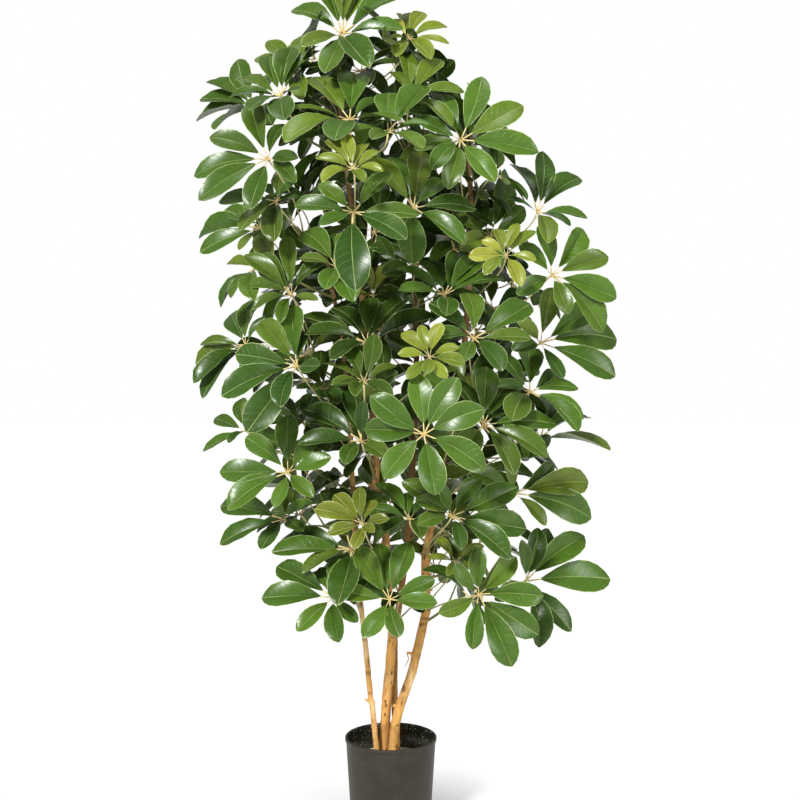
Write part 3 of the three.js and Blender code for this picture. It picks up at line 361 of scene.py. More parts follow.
FRONT_SPRAYS = [
    Spray("top_leaf", Stem.B, 1.325, [
        aimed(-0.086, 1.380, -0.040, 0.125, 0, 38, (292, 2), (302, 46), (324, 63), (369, 67), (403, 29),
            (408, -8), (372, -28), (346, -36), (318, -26)),
    ]),
    Spray("spray_upper_left_1", Stem.B, 1.160, [
        aimed(-0.192, 1.272, -0.070, 0.100, -20, 55, (269, 57), (292, 48), (319, 51), (240, 79), (230, 97),
            (249, 110), (300, 89), (284, 120)),
        aimed(-0.236, 1.253, 0.040, 0.108, -50, 50, (238, 60), (208, 82), (201, 99), (197, 121), (216, 129),
            (272, 125), (285, 70)),
    ]),
    Spray("spray_upper_left_2", Stem.B, 1.225, [
        aimed(-0.168, 1.312, -0.010, 0.084, -20, 50, (302, 36), (283, 42), (269, 48), (256, 58), (326, 66),
            (318, 46), (300, 92)),
    ]),
    Spray("spray_left_1", Stem.A, 0.985, [
        aimed(-0.215, 1.162, -0.130, 0.128, -5, 18, (249, 98), (284, 124), (298, 158), (296, 182), (250, 209),
            (199, 200), (192, 170), (210, 137)),
        aimed(-0.200, 1.088, -0.080, 0.100, -15, 35, (240, 230), (275, 241), (304, 195), (219, 202),
            (300, 181), (262, 184), (280, 170)),
    ]),
    Spray("spray_left_2", Stem.A, 0.920, [
        aimed(-0.226, 1.041, 0.010, 0.118, -30, 30, (194, 230), (200, 252), (239, 250), (272, 259),
            (225, 210), (250, 195), (290, 215)),
        aimed(-0.238, 0.971, -0.040, 0.088, -45, 35, (228, 263), (254, 246), (275, 245), (216, 302),
            (231, 298), (282, 275), (255, 300)),
    ]),
    Spray("spray_upper_1", Stem.B, 1.120, [
        aimed(-0.072, 1.230, -0.120, 0.120, 0, 60, (284, 109), (315, 77), (356, 74), (285, 142), (335, 140),
            (399, 121), (380, 100)),
        aimed(-0.005, 1.209, -0.170, 0.108, 5, 52, (356, 85), (390, 74), (425, 97), (431, 125), (422, 148),
            (372, 139), (340, 128)),
    ]),
    Spray("spray_upper_2", Stem.C, 1.195, [
        aimed(0.033, 1.272, -0.100, 0.092, 10, 45, (392, 66), (406, 52), (441, 60), (464, 92), (452, 126),
            (400, 99)),
    ]),
    Spray("spray_upper_right", Stem.D, 1.020, [
        aimed(0.122, 1.195, -0.120, 0.124, 5, 20, (445, 86), (482, 77), (523, 106), (538, 152), (495, 182),
            (449, 183), (432, 169), (416, 144), (416, 118)),
        Head(EYE.hub(0.118, 1.022, 0.050), 0.104, 5, 35, 20, 0.2, 6),
    ]),
    Spray("spray_middle_1", Stem.B, 0.950, [
        aimed(-0.066, 1.069, -0.220, 0.122, 0, 34, (356, 291), (391, 172), (418, 208), (406, 239), (295, 199),
            (320, 225), (319, 184), (351, 176)),
        aimed(-0.096, 0.974, -0.120, 0.096, -10, 50, (303, 232), (300, 258), (326, 289), (352, 292),
            (370, 262), (352, 232), (325, 228)),
    ]),
    Spray("spray_middle_2", Stem.C, 0.900, [
        aimed(0.040, 1.076, -0.110, 0.110, 15, 30, (475, 209), (465, 244), (413, 264), (444, 180), (421, 150),
            (392, 151), (371, 158), (385, 235)),
        aimed(0.093, 0.924, -0.140, 0.108, 10, 52, (398, 268), (399, 290), (428, 252), (466, 247), (477, 258),
            (503, 279), (446, 315)),
    ]),
    Spray("spray_right_1", Stem.D, 0.960, [
        aimed(0.257, 1.069, -0.060, 0.102, 25, 50, (511, 165), (543, 152), (579, 178), (587, 218), (570, 226),
            (507, 198), (551, 234)),
        aimed(0.173, 1.027, -0.020, 0.116, 20, 25, (476, 176), (511, 171), (524, 207), (455, 215), (460, 250),
            (500, 268), (530, 240)),
    ]),
    Spray("spray_right_2", Stem.D, 0.850, [
        aimed(0.282, 0.959, -0.090, 0.118, 12, 12, (539, 225), (586, 227), (608, 257), (616, 298), (607, 328),
            (568, 314), (517, 294), (522, 243)),
        aimed(0.262, 0.840, -0.050, 0.130, 20, 22, (553, 288), (592, 306), (622, 334), (615, 376), (563, 378),
            (518, 322), (512, 350)),
    ]),
    Spray("spray_right_3", Stem.D, 0.720, [
        aimed(0.145, 0.848, -0.190, 0.110, 15, 40, (432, 297), (435, 337), (464, 361), (469, 287), (530, 304),
            (531, 338), (502, 371)),
        aimed(0.243, 0.754, -0.100, 0.104, 25, 48, (530, 340), (562, 368), (578, 388), (586, 412), (578, 431),
            (498, 386), (502, 354), (512, 420)),
    ]),
    Spray("spray_right_4", Stem.D, 0.610, [
        aimed(0.161, 0.696, -0.170, 0.120, 20, 40, (487, 367), (513, 375), (536, 394), (556, 424), (547, 457),
            (514, 474), (455, 465), (453, 372)),
        aimed(0.262, 0.675, 0.010, 0.124, 20, 72, (610, 450), (589, 418), (553, 398), (515, 412), (500, 440),
            (528, 458)),
    ]),
    Spray("spray_middle_3", Stem.D, 0.570, [
        aimed(0.058, 0.680, -0.265, 0.110, 0, 10, (417, 373), (458, 378), (484, 409), (485, 470), (436, 495),
            (384, 478), (365, 428), (371, 396)),
        Head(EYE.hub(0.130, 0.752, -0.060), 0.104, 10, 40, 20, 0.2, 6),
    ]),
    Spray("spray_middle_4", Stem.D, 0.470, [
        aimed(0.107, 0.537, -0.190, 0.124, 10, 30, (402, 482), (412, 502), (440, 486), (480, 478), (517, 487),
            (528, 524), (510, 558), (461, 550), (418, 524)),
        aimed(0.033, 0.532, -0.110, 0.088, 0, 58, (377, 483), (370, 508), (384, 531), (421, 538), (407, 488),
            (428, 495), (440, 521)),
    ]),
    Spray("spray_right_5", Stem.D, 0.430, [
        aimed(0.215, 0.577, -0.090, 0.130, 25, 18, (557, 462), (588, 482), (591, 518), (546, 525), (508, 455),
            (470, 472), (478, 512)),
        aimed(0.236, 0.423, -0.070, 0.132, 20, 18, (518, 539), (538, 528), (552, 528), (584, 536), (610, 579),
            (571, 631), (539, 647), (495, 600)),
    ]),
    Spray("spray_low_right", Stem.D, 0.372, [
        aimed(0.154, 0.400, -0.180, 0.120, 5, 12, (479, 547), (516, 557), (543, 596), (539, 634), (512, 666),
            (474, 648), (439, 613), (455, 564)),
    ]),
    Spray("spray_low_middle", Stem.B, 0.320, [
        aimed(-0.002, 0.391, -0.200, 0.104, 0, 34, (358, 547), (379, 540), (408, 543), (434, 577), (437, 603),
            (399, 637), (363, 637), (328, 590)),
    ]),
    Spray("spray_left_3", Stem.A, 0.500, [
        aimed(-0.180, 0.614, -0.150, 0.118, -10, 30, (288, 415), (246, 437), (220, 472), (228, 509),
            (275, 507), (313, 497), (331, 457), (318, 435)),
        aimed(-0.187, 0.532, -0.080, 0.118, -20, 45, (221, 506), (217, 537), (261, 549), (312, 499),
            (291, 488), (303, 531)),
    ]),
    Spray("spray_left_4", Stem.A, 0.380, [
        aimed(-0.070, 0.479, -0.120, 0.132, -15, 60, (284, 530), (272, 552), (302, 565), (345, 592),
            (384, 533), (338, 487), (385, 570)),
        aimed(-0.101, 0.395, -0.170, 0.114, -10, 30, (262, 598), (275, 563), (316, 561), (335, 557),
            (370, 577), (356, 619), (339, 642), (297, 631)),
    ]),
    Spray("spray_middle_5", Stem.B, 0.600, [
        aimed(-0.051, 0.668, -0.150, 0.114, -10, 50, (304, 409), (298, 443), (345, 464), (386, 458),
            (337, 388), (362, 380), (390, 402), (398, 438)),
        aimed(-0.047, 0.771, -0.190, 0.080, 0, 62, (355, 396), (331, 385), (322, 363), (397, 366), (345, 345),
            (375, 340), (392, 398)),
    ]),
    Spray("spray_left_5", Stem.A, 0.770, [
        aimed(-0.173, 0.924, -0.120, 0.090, -15, 34, (264, 258), (289, 240), (324, 253), (250, 284),
            (253, 309), (280, 323), (247, 265), (318, 300)),
        aimed(-0.254, 0.836, -0.020, 0.106, -30, 40, (227, 308), (201, 344), (192, 358), (194, 383),
            (197, 391), (254, 299), (268, 318), (265, 375)),
    ]),
    Spray("spray_left_6", Stem.A, 0.680, [
        aimed(-0.164, 0.800, -0.170, 0.128, -10, 30, (294, 306), (261, 321), (234, 349), (222, 396),
            (244, 425), (280, 407), (319, 366), (303, 331)),
        aimed(-0.114, 0.759, -0.060, 0.070, -10, 50, (296, 388), (315, 403), (308, 370), (322, 355),
            (345, 362), (352, 392), (340, 410)),
    ]),
    Spray("spray_middle_6", Stem.B, 0.760, [
        aimed(-0.042, 0.840, -0.120, 0.114, 0, 48, (300, 316), (333, 300), (303, 342), (408, 297), (436, 316),
            (365, 379), (370, 298), (335, 362)),
        Head(EYE.hub(0.026, 0.972, 0.060), 0.102, 10, 40, 30, 0.2, 6),
    ]),
    Spray("spray_left_7", Stem.A, 0.580, [
        aimed(-0.154, 0.701, -0.050, 0.108, -20, 40, (284, 399), (309, 393), (258, 412), (249, 431),
            (272, 445), (330, 450), (345, 405)),
        aimed(-0.254, 0.687, -0.060, 0.092, -40, 40, (215, 418), (203, 451), (229, 443), (243, 398),
            (270, 405), (280, 440)),
    ]),
    Spray("young_leaf_1", Stem.B, 1.240, [
        aimed(0.031, 1.372, -0.030, 0.074, 5, 42, (403, 8), (424, 13), (447, 27), (449, 44), (431, 59),
            (397, 51), (391, 38), (394, 19)),
    ], Age.YOUNG),
    Spray("young_leaf_2", Stem.B, 1.030, [
        aimed(-0.064, 1.144, -0.245, 0.070, 0, 45, (316, 158), (322, 182), (327, 140), (345, 139), (365, 138),
            (378, 151), (383, 171), (364, 182)),
    ], Age.YOUNG),
    Spray("young_leaf_3", Stem.D, 0.900, [
        aimed(0.202, 0.993, -0.140, 0.062, 0, 30, (482, 240), (497, 226), (518, 226), (535, 231), (536, 260),
            (521, 286), (484, 275), (469, 257)),
    ], Age.YOUNG),
    Spray("young_leaf_4", Stem.B, 0.690, [
        aimed(0.068, 0.816, -0.240, 0.060, 0, 28, (402, 330), (421, 325), (442, 325), (459, 345), (465, 364),
            (447, 378), (426, 381), (407, 379), (398, 354)),
    ], Age.YOUNG),
    Spray("young_leaf_5", Stem.D, 0.380, [
        Head(EYE.hub(0.114, 0.458, -0.050), 0.060, 10, 55, -30, 0.1, 6),
    ], Age.YOUNG),
    Spray("young_leaf_6", Stem.B, 0.830, [
        aimed(-0.031, 0.922, -0.040, 0.058, 0, 60, (350, 294), (374, 317), (397, 291), (390, 264), (371, 263),
            (354, 274)),
    ], Age.YOUNG),
    Spray("young_leaf_7", Stem.B, 0.430, [
        aimed(-0.049, 0.523, -0.220, 0.084, -5, 34, (360, 487), (334, 492), (315, 509), (328, 534),
            (354, 549), (374, 532), (389, 519), (376, 500)),
    ], Age.YOUNG),
]


@dataclass(frozen=True)
class FarSide:
    """The sprays of the far side, which climb round it in golden steps."""

    sprays: int = 16
    lowest: float = 0.420
    highest: float = 1.300
    seed: int = 500
    centre: Pair = (0.0, 0.020)
    hub_radius: float = 0.225
    middle: float = 0.830
    half_height: float = 0.600
    least_belly: float = 0.12
    azimuth: float = 180.0
    spread: float = 105.0
    golden: float = 0.618034
    apart: Pair = (17.0, 0.042)
    upper_in: float = 0.86
    rise: float = 0.095
    lowest_fork: float = 0.330
    trunk_above: float = 0.020
    reach: Pair = (0.100, 0.028)
    turn: float = 30.0
    lift: Pair = (22.0, 36.0)
    taper: float = 0.25
    count: int = 7

    def head(self, height: float, golden: float, index: int, side: int) -> Head:
        """Places the upper or lower head of a pair.

        Args:
            height: The pair's height.
            golden: Its place round the crown, from 0 to 1.
            index: The spray's number.
            side: 1 for the upper head and -1 for the lower one.

        Returns:
            The head.
        """
        seed = self.seed + index * 2 + side
        azimuth = self.azimuth + self.spread * (2 * golden - 1) + side * self.apart[0]
        z = height + side * self.apart[1]
        belly = math.sqrt(max(self.least_belly, 1 - ((z - self.middle) / self.half_height) ** 2))
        radius = self.hub_radius * belly * (self.upper_in if side > 0 else 1.0)
        turn = math.radians(azimuth)
        hub = Vector((self.centre[0] + math.sin(turn) * radius, self.centre[1] - math.cos(turn) * radius, z))
        return Head(
            hub, self.reach[0] + self.reach[1] * noise(seed, 1), azimuth + self.turn * (noise(seed, 2) - 0.5),
            self.lift[0] + self.lift[1] * noise(seed, 3), 360 * noise(seed, 4), self.taper, self.count)

    def build(self) -> list[Spray]:
        """Works out all the sprays of the far side."""
        sprays = []
        for index in range(self.sprays):
            golden = (index * self.golden) % 1
            height = self.lowest + (self.highest - self.lowest) * (index + 0.5) / self.sprays
            heads = [self.head(height, golden, index, side) for side in (-1, 1)]
            start = max(self.lowest_fork, height - self.rise)
            middle = (heads[0].hub + heads[1].hub) / 2
            stem = nearest_stem(middle, start, self.trunk_above)
            sprays.append(Spray(f"spray_back_{index + 1}", stem, start, heads))
        return sprays


@dataclass(frozen=True)
class InnerLeaves:
    """The smaller heads deep in the crown, which climb round the trunks in golden steps.

    The crown's widths are pairs of a height and how far its leaves reach there from the middle. Towards the
    front the heads keep back to the share front of that.
    """

    heads: int = 72
    lowest: float = 0.40
    highest: float = 1.36
    seed: int = 900
    widths: tuple[Pair, ...] = (
        (0.36, 0.16), (0.48, 0.28), (0.65, 0.32), (0.90, 0.34), (1.08, 0.31), (1.22, 0.26), (1.34, 0.15),
        (1.42, 0.06),
    )
    middle: tuple[Triple, ...] = (
        (0.36, 0.02, 0.01), (0.80, 0.03, 0.02), (1.10, 0.01, 0.02), (1.42, -0.06, 0.0),
    )
    shares: Triple = (0.34, 0.62, 0.48)
    golden: float = 137.508
    wander: float = 20.0
    stray: float = 0.08
    front: float = 0.15
    rise: float = 0.075
    lowest_fork: float = 0.32
    trunk_above: float = 0.01
    reach: Pair = (0.096, 0.026)
    turn: float = 40.0
    lift: Pair = (15.0, 50.0)
    taper: float = 0.2
    count: int = 7
    pieces: int = 8

    def hub(self, height: float, azimuth: float, share: float) -> Vector:
        """Places a hub.

        Args:
            height: Its height.
            azimuth: Its direction from the crown's middle, from the front to the right.
            share: How far out it is, as a share of the crown's width there.

        Returns:
            The hub's place.
        """
        turn = math.radians(azimuth)
        heights, middle_x, middle_y = zip(*self.middle)
        middle = Vector((np.interp(height, heights, middle_x), np.interp(height, heights, middle_y), height))
        width = float(np.interp(height, *zip(*self.widths)))
        depth = -math.cos(turn) * (self.front if math.cos(turn) > 0 else 1.0)
        return middle + Vector((math.sin(turn), depth, 0.0)) * (width * share)

    def build(self) -> list[Spray]:
        """Works out the inner heads, each a spray of its own."""
        sprays = []
        for index in range(self.heads):
            seed = self.seed + index * 3
            height = self.lowest + (self.highest - self.lowest) * (index + 0.5) / self.heads
            azimuth = index * self.golden + self.wander * (noise(seed, 1) - 0.5)
            share = self.shares[index % len(self.shares)] + self.stray * (noise(seed, 2) - 0.5)
            hub = self.hub(height, azimuth, share)
            head = Head(
                hub, self.reach[0] + self.reach[1] * noise(seed, 3),
                azimuth + self.turn * (noise(seed, 4) - 0.5), self.lift[0] + self.lift[1] * noise(seed, 5),
                360 * noise(seed, 6), self.taper, self.count + int(noise(seed, 7) > 0.5))
            start = max(self.lowest_fork, height - self.rise)
            stem = nearest_stem(hub, start, self.trunk_above)
            sprays.append(Spray(f"inner_leaves_{index % self.pieces + 1}", stem, start, [head]))
        return sprays


OPENINGS: tuple[Tip, ...] = (
    (388, 76), (395, 539), (396, 485), (392, 145), (356, 486), (335, 461), (319, 522), (440, 590), (440, 568),
    (290, 226), (268, 312), (525, 351), (506, 166), (535, 318),
)


class PackedSolid:
    """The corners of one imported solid, for looking up how a leaflet or stalk was bent clear."""

    def __init__(self, node: str) -> None:
        """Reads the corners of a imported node."""
        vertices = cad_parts[node].data.vertices
        self.tree = KDTree(len(vertices))
        for index, vertex in enumerate(vertices):
            self.tree.insert(vertex.co, index)
        self.tree.balance()

    def distance(self, points: Sequence[Vector]) -> float:
        """The largest distance from any of the points to its nearest corner."""
        return max(self.tree.find(point)[2] for point in points)

    def best_bow(self, ring: Callable[[Bow], Sequence[Vector]]) -> Bow:
        """The bow with which a stalk's or twig's second ring of corners fits the solid best."""
        return min(BOWS, key=lambda bow: self.distance(ring(bow)))


class Place(NamedTuple):
    """The place of a leaflet in its head: its angle, how far it leans back, and its length."""

    angle: float
    lean: float
    reach: float


@dataclass(frozen=True)
class LeafletRule:
    """How a head's leaflets are laid out. Widths and lengths are shares of the head's reach."""

    thickness: float = 0.0008
    widest: float = 0.62
    half_width: float = 0.205
    droop: Pair = (-17.0, 4.0)
    wander: float = 0.16
    shorter: float = 0.08
    lean_spread: float = 10.0
    lean_share: Pair = (0.85, 1.15)
    roll_spread: float = 18.0
    least: float = 0.55
    most: float = 1.15
    found_within: float = 0.0006
    opening: float = 10.0
    watched: tuple[float, ...] = (0.2, 0.4, 0.6, 0.8, 1.0)

    def chord(self) -> Pair:
        """How far a tip leans back from the head's plane, and how far off it is in a straight line."""
        shares = (self.widest, 1 - self.widest)
        flat = sum(share * math.cos(math.radians(droop)) for share, droop in zip(shares, self.droop))
        down = sum(share * math.sin(math.radians(droop)) for share, droop in zip(shares, self.droop))
        return math.degrees(math.atan2(down, flat)), math.hypot(flat, down)

    @staticmethod
    def chance(head: Head, index: int, step: int) -> float:
        """One of the five random numbers that lay out a leaflet, from 0 to 1."""
        return noise(head.seed, index * 5 + step)

    def even_place(self, head: Head, index: int) -> Place:
        """The place of one of a head's evenly spread leaflets."""
        step = 360 / head.count
        wander = self.wander * step * (self.chance(head, index, 1) - 0.5)
        fade = (1 - math.cos(math.radians(index * step))) / 2
        uneven = 1 - self.shorter * self.chance(head, index, 2)
        lean = self.lean_spread * (self.chance(head, index, 3) - 0.5)
        return Place(head.lead + index * step + wander, lean, head.reach * (1 - head.taper * fade) * uneven)

    def aimed_place(self, head: Head, tip: Tip) -> Place:
        """Aims a leaflet at a square of the sheet.

        Args:
            head: The head that it belongs to.
            tip: The column and row in which its tip is seen.

        Returns:
            Its place, with the tip on that sight line, where it meets the head's plane, or as near to there
            as the leaflet's length allows.
        """
        axes, sight, to_hub = head.axes(), EYE.sight(*tip), EYE.to(head.hub)
        droop, length = self.chord()
        chord = sight * to_hub.dot(sight) - to_hub
        rise = -math.sin(math.radians(droop)) * head.reach
        onward = (rise - chord.dot(axes.out)) / sight.dot(axes.out)
        wanted = math.hypot(chord.length, onward)
        allowed = min(max(wanted, self.least * head.reach), self.most * head.reach)
        further = math.sqrt(max(0.0, allowed**2 - chord.length_squared))
        chord += sight * math.copysign(further, onward)
        down = -math.degrees(math.asin(chord.dot(axes.out) / chord.length))
        share = self.widest * self.lean_share[0] + (1 - self.widest) * self.lean_share[1]
        angle = math.degrees(math.atan2(chord.dot(axes.left), chord.dot(axes.up)))
        return Place(angle, (down - droop) / share, chord.length / length)

    def places(self, head: Head) -> list[Place]:
        """The places of all a head's leaflets, in order of angle."""
        if head.tips:
            return sorted((self.aimed_place(head, tip) for tip in head.tips), key=lambda place: place.angle)
        return [self.even_place(head, index) for index in range(head.count)]

    def leaflet(self, head: Head, index: int, place: Place, bend: Bend) -> "Leaflet":
        """Lays out one leaflet.

        Args:
            head: The head that it belongs to.
            index: Its number round the head.
            place: Its place in the head.
            bend: How it is bent clear of its neighbours.

        Returns:
            The leaflet.
        """
        axes = head.axes()
        angle = math.radians(place.angle + bend.swing)
        reach = place.reach * bend.length
        lean = place.lean + bend.droop
        roll = math.radians(self.roll_spread * (self.chance(head, index, 4) - 0.5))
        outward = axes.up * math.cos(angle) + axes.left * math.sin(angle)
        along, across = [], []
        for droop, share in zip(self.droop, self.lean_share):
            down = math.radians(droop + lean * share)
            along.append(outward * math.cos(down) - axes.out * math.sin(down))
            flat = axes.out.cross(outward)
            flat.rotate(Quaternion(along[-1], roll))
            across.append(flat)
        return Leaflet(head, index, reach, along, across)

    def find(self, head: Head, index: int, place: Place, solid: PackedSolid | None) -> "Leaflet | None":
        """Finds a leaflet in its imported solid.

        Args:
            head: The head that it belongs to.
            index: Its number round the head.
            place: Its place in the head.
            solid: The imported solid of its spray, where it has one.

        Returns:
            The leaflet as it was bent clear, or None where no place is free for it.
        """
        if solid is None:
            leaflet = self.leaflet(head, index, place, BENDS[0])
            return None if leaflet.fills_opening(self) else leaflet
        for bend in BENDS:
            leaflet = self.leaflet(head, index, place, bend)
            if solid.distance(leaflet.corners(self)) < self.found_within:
                return leaflet
        return None


@dataclass
class Leaflet:
    """One leaflet: its length, and the directions of its two stretches and across them."""

    head: Head
    index: int
    reach: float
    along: list[Vector]
    across: list[Vector]

    def fills_opening(self, rule: LeafletRule) -> bool:
        """Whether its rib is seen across one of the crown's openings.

        Args:
            rule: How leaflets are laid out.

        Returns:
            True where it is.
        """
        for share in rule.watched:
            bend = min(share, rule.widest)
            place = self.head.hub + (self.along[0] * bend + self.along[1] * (share - bend)) * self.reach
            square = EYE.square_of(place)
            if any(math.dist(square, opening) < rule.opening for opening in OPENINGS):
                return True
        return False

    def corners(self, rule: LeafletRule) -> list[Vector]:
        """The two upper corners of the solid leaflet where it is widest."""
        belly = self.head.hub + self.along[0] * self.reach * rule.widest
        lift = self.along[0].cross(self.across[0]) * rule.thickness / 2
        side = self.across[0] * self.reach * rule.half_width
        return [belly + side + lift, belly - side + lift]

    def draw(self, chance: Chance) -> float:
        """One of the leaflet's own random numbers, from -1 to 1."""
        return 2 * noise(self.head.seed + 1000, self.index * 9 + chance) - 1

    def stray(self, around: Pair, chance: Chance) -> float:
        """A number that strays by chance from a middle, by as much as the pair says."""
        return around[0] + around[1] * self.draw(chance)


@dataclass(frozen=True)
class StalkRule:
    """How the long stalk of a head runs from its hub to its root."""

    radius: float = 0.0017
    sides: int = 3
    steps: int = 3
    long_span: float = 0.135
    hub_drop: float = 0.005
    straight: float = 0.36
    bend_at: float = 0.34
    arch: float = 0.04
    bow_share: Pair = (0.7, 1.4)
    slim: float = 0.0013
    root_swell: float = 0.0006
    root_from: Pair = (0.75, 1.0)
    hub_swell: float = 0.0004
    hub_until: Pair = (0.1, 0.0)

    def curve(self, head: Head, root: Vector, bow: Bow) -> list[Vector]:
        """The four control points of the stalk's curve, from the hub down.

        Args:
            head: The head that it carries.
            root: Where it is rooted.
            bow: How it is bowed clear.

        Returns:
            The control points.
        """
        out = head.axes().out
        start = head.hub - out * self.hub_drop
        span = (start - root).length
        shift = UP.cross(start - root).normalized() * bow.side + UP * bow.rise
        near_hub = start - out * (self.straight * span) + shift * self.bow_share[0]
        near_root = root.lerp(start, self.bend_at) + UP * (self.arch * span) + shift * self.bow_share[1]
        return [start, near_hub, near_root, root]

    def ring(self, head: Head, root: Vector, bow: Bow) -> list[Vector]:
        """The corners of the solid stalk's second ring."""
        curve = self.curve(head, root, bow)
        steps = self.steps if (curve[0] - root).length > self.long_span else self.steps - 1
        path = [bezier(curve, step / steps) for step in range(steps + 1)]
        return second_ring(path, self.radius, self.sides, head.axes().up)

    def find(self, head: Head, root: Vector, solid: PackedSolid | None) -> list[Vector]:
        """Finds the stalk's curve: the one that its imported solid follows, where it has one."""
        bow = BOWS[0] if solid is None else solid.best_bow(lambda bow: self.ring(head, root, bow))
        return self.curve(head, root, bow)

    def width(self, share: np.ndarray) -> np.ndarray:
        """The fine stalk's radius at shares of its way, which swells at its root and below its hub."""
        root = self.root_swell * smooth(share, *self.root_from)
        return self.slim + root + self.hub_swell * smooth(share, *self.hub_until)


@dataclass(frozen=True)
class TwigRule:
    """How the twig of a spray runs from its trunk to the fork of its stalks."""

    radius: float = 0.0025
    sides: int = 4
    past: float = 0.003
    sag: float = 0.003
    bow_share: float = 0.5
    fork: Pair = (0.45, 0.3)
    steep: float = 0.8
    fine_radius: float = 0.0027
    narrowing: float = 0.0006

    def fork_of(self, root: Vector, heads: Sequence[Head]) -> Vector:
        """Where the stalks of several heads part."""
        middle = sum((head.hub for head in heads), Vector()) / len(heads)
        fork = root.lerp(middle, self.fork[0])
        fork.z = root.z + (middle.z - root.z) * self.fork[1]
        return fork

    def path(self, root: Vector, fork: Vector, bow: Bow) -> list[Vector]:
        """The three points of a twig.

        Args:
            root: Where it leaves its trunk.
            fork: Where the stalks part.
            bow: How it is bent clear.

        Returns:
            The points.
        """
        way = (fork - root).normalized()
        sideways = UP.cross(way).normalized()
        middle = root.lerp(fork, 0.5) + sideways * (bow.side * self.bow_share)
        middle.z += bow.rise * self.bow_share - self.sag
        return [root, middle, fork + way * self.past]

    def ring(self, root: Vector, fork: Vector, bow: Bow) -> list[Vector]:
        """The corners of the solid twig's second ring."""
        path = self.path(root, fork, bow)
        steep = abs((path[1] - path[0]).normalized().z) > self.steep
        return second_ring(path, self.radius, self.sides, Vector((0, 1, 0)) if steep else UP)

    def find(self, root: Vector, fork: Vector, solid: PackedSolid) -> list[Vector]:
        """Finds the path that the twig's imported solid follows."""
        return self.path(root, fork, solid.best_bow(lambda bow: self.ring(root, fork, bow)))

    def width(self, share: np.ndarray) -> np.ndarray:
        """The fine twig's radius at shares of its way."""
        return self.fine_radius - self.narrowing * share


def bezier(curve: Sequence[Vector], share: float) -> Vector:
    """The point of a cubic curve at a share of its way."""
    rest = 1 - share
    return (curve[0] * rest**3 + curve[1] * (3 * rest**2 * share) + curve[2] * (3 * rest * share**2)
            + curve[3] * share**3)


def second_ring(path: Sequence[Vector], radius: float, sides: int, first_axis: Vector) -> list[Vector]:
    """The corners of the second ring of the solid tube round a path.

    Args:
        path: The tube's middle line.
        radius: Its radius.
        sides: How many corners a ring has.
        first_axis: The direction from which the first ring's corners are counted.

    Returns:
        The corners.
    """
    axis = first_axis
    for ahead in path[1:3]:
        tangent = (ahead - path[0]).normalized()
        axis = (axis - tangent * axis.dot(tangent)).normalized()
    side = axis.cross(tangent)
    angles = [2 * math.pi * (corner + 0.5) / sides for corner in range(sides)]
    return [path[1] + axis * (radius * math.cos(a)) + side * (radius * math.sin(a)) for a in angles]


class Num:
    """A number that varies over a surface. Python's operators on it add Math nodes."""

    def __init__(self, shader: "Shader", socket: Socket) -> None:
        """Wraps a socket of a shader's nodes."""
        self.shader, self.socket = shader, socket

    def math(self, operation: str, *values: "Num | float") -> "Num":
        """Adds one Math node with its operation and its inputs in order."""
        node = self.shader.node("ShaderNodeMath", {"operation": operation}, dict(enumerate(values)))
        return Num(self.shader, node.outputs[0])

    def __add__(self, other: "Num | float") -> "Num":
        """Adds."""
        return self.math("ADD", self, other)

    __radd__ = __add__

    def __sub__(self, other: "Num | float") -> "Num":
        """Subtracts."""
        return self.math("SUBTRACT", self, other)

    def __rsub__(self, other: "Num | float") -> "Num":
        """Subtracts this from a number."""
        return self.math("SUBTRACT", other, self)

    def __mul__(self, other: "Num | float") -> "Num":
        """Multiplies."""
        return self.math("MULTIPLY", self, other)

    __rmul__ = __mul__

    def __abs__(self) -> "Num":
        """Drops the sign."""
        return self.math("ABSOLUTE", self)

    def sine(self) -> "Num":
        """The sine."""
        return self.math("SINE", self)

    def band(self, low: float, high: float) -> "Num":
        """Runs softly from 0 at low to 1 at high."""
        inputs = {"Value": self, "From Min": low, "From Max": high}
        node = self.shader.node("ShaderNodeMapRange", {"interpolation_type": "SMOOTHSTEP"}, inputs)
        return Num(self.shader, node.outputs["Result"])


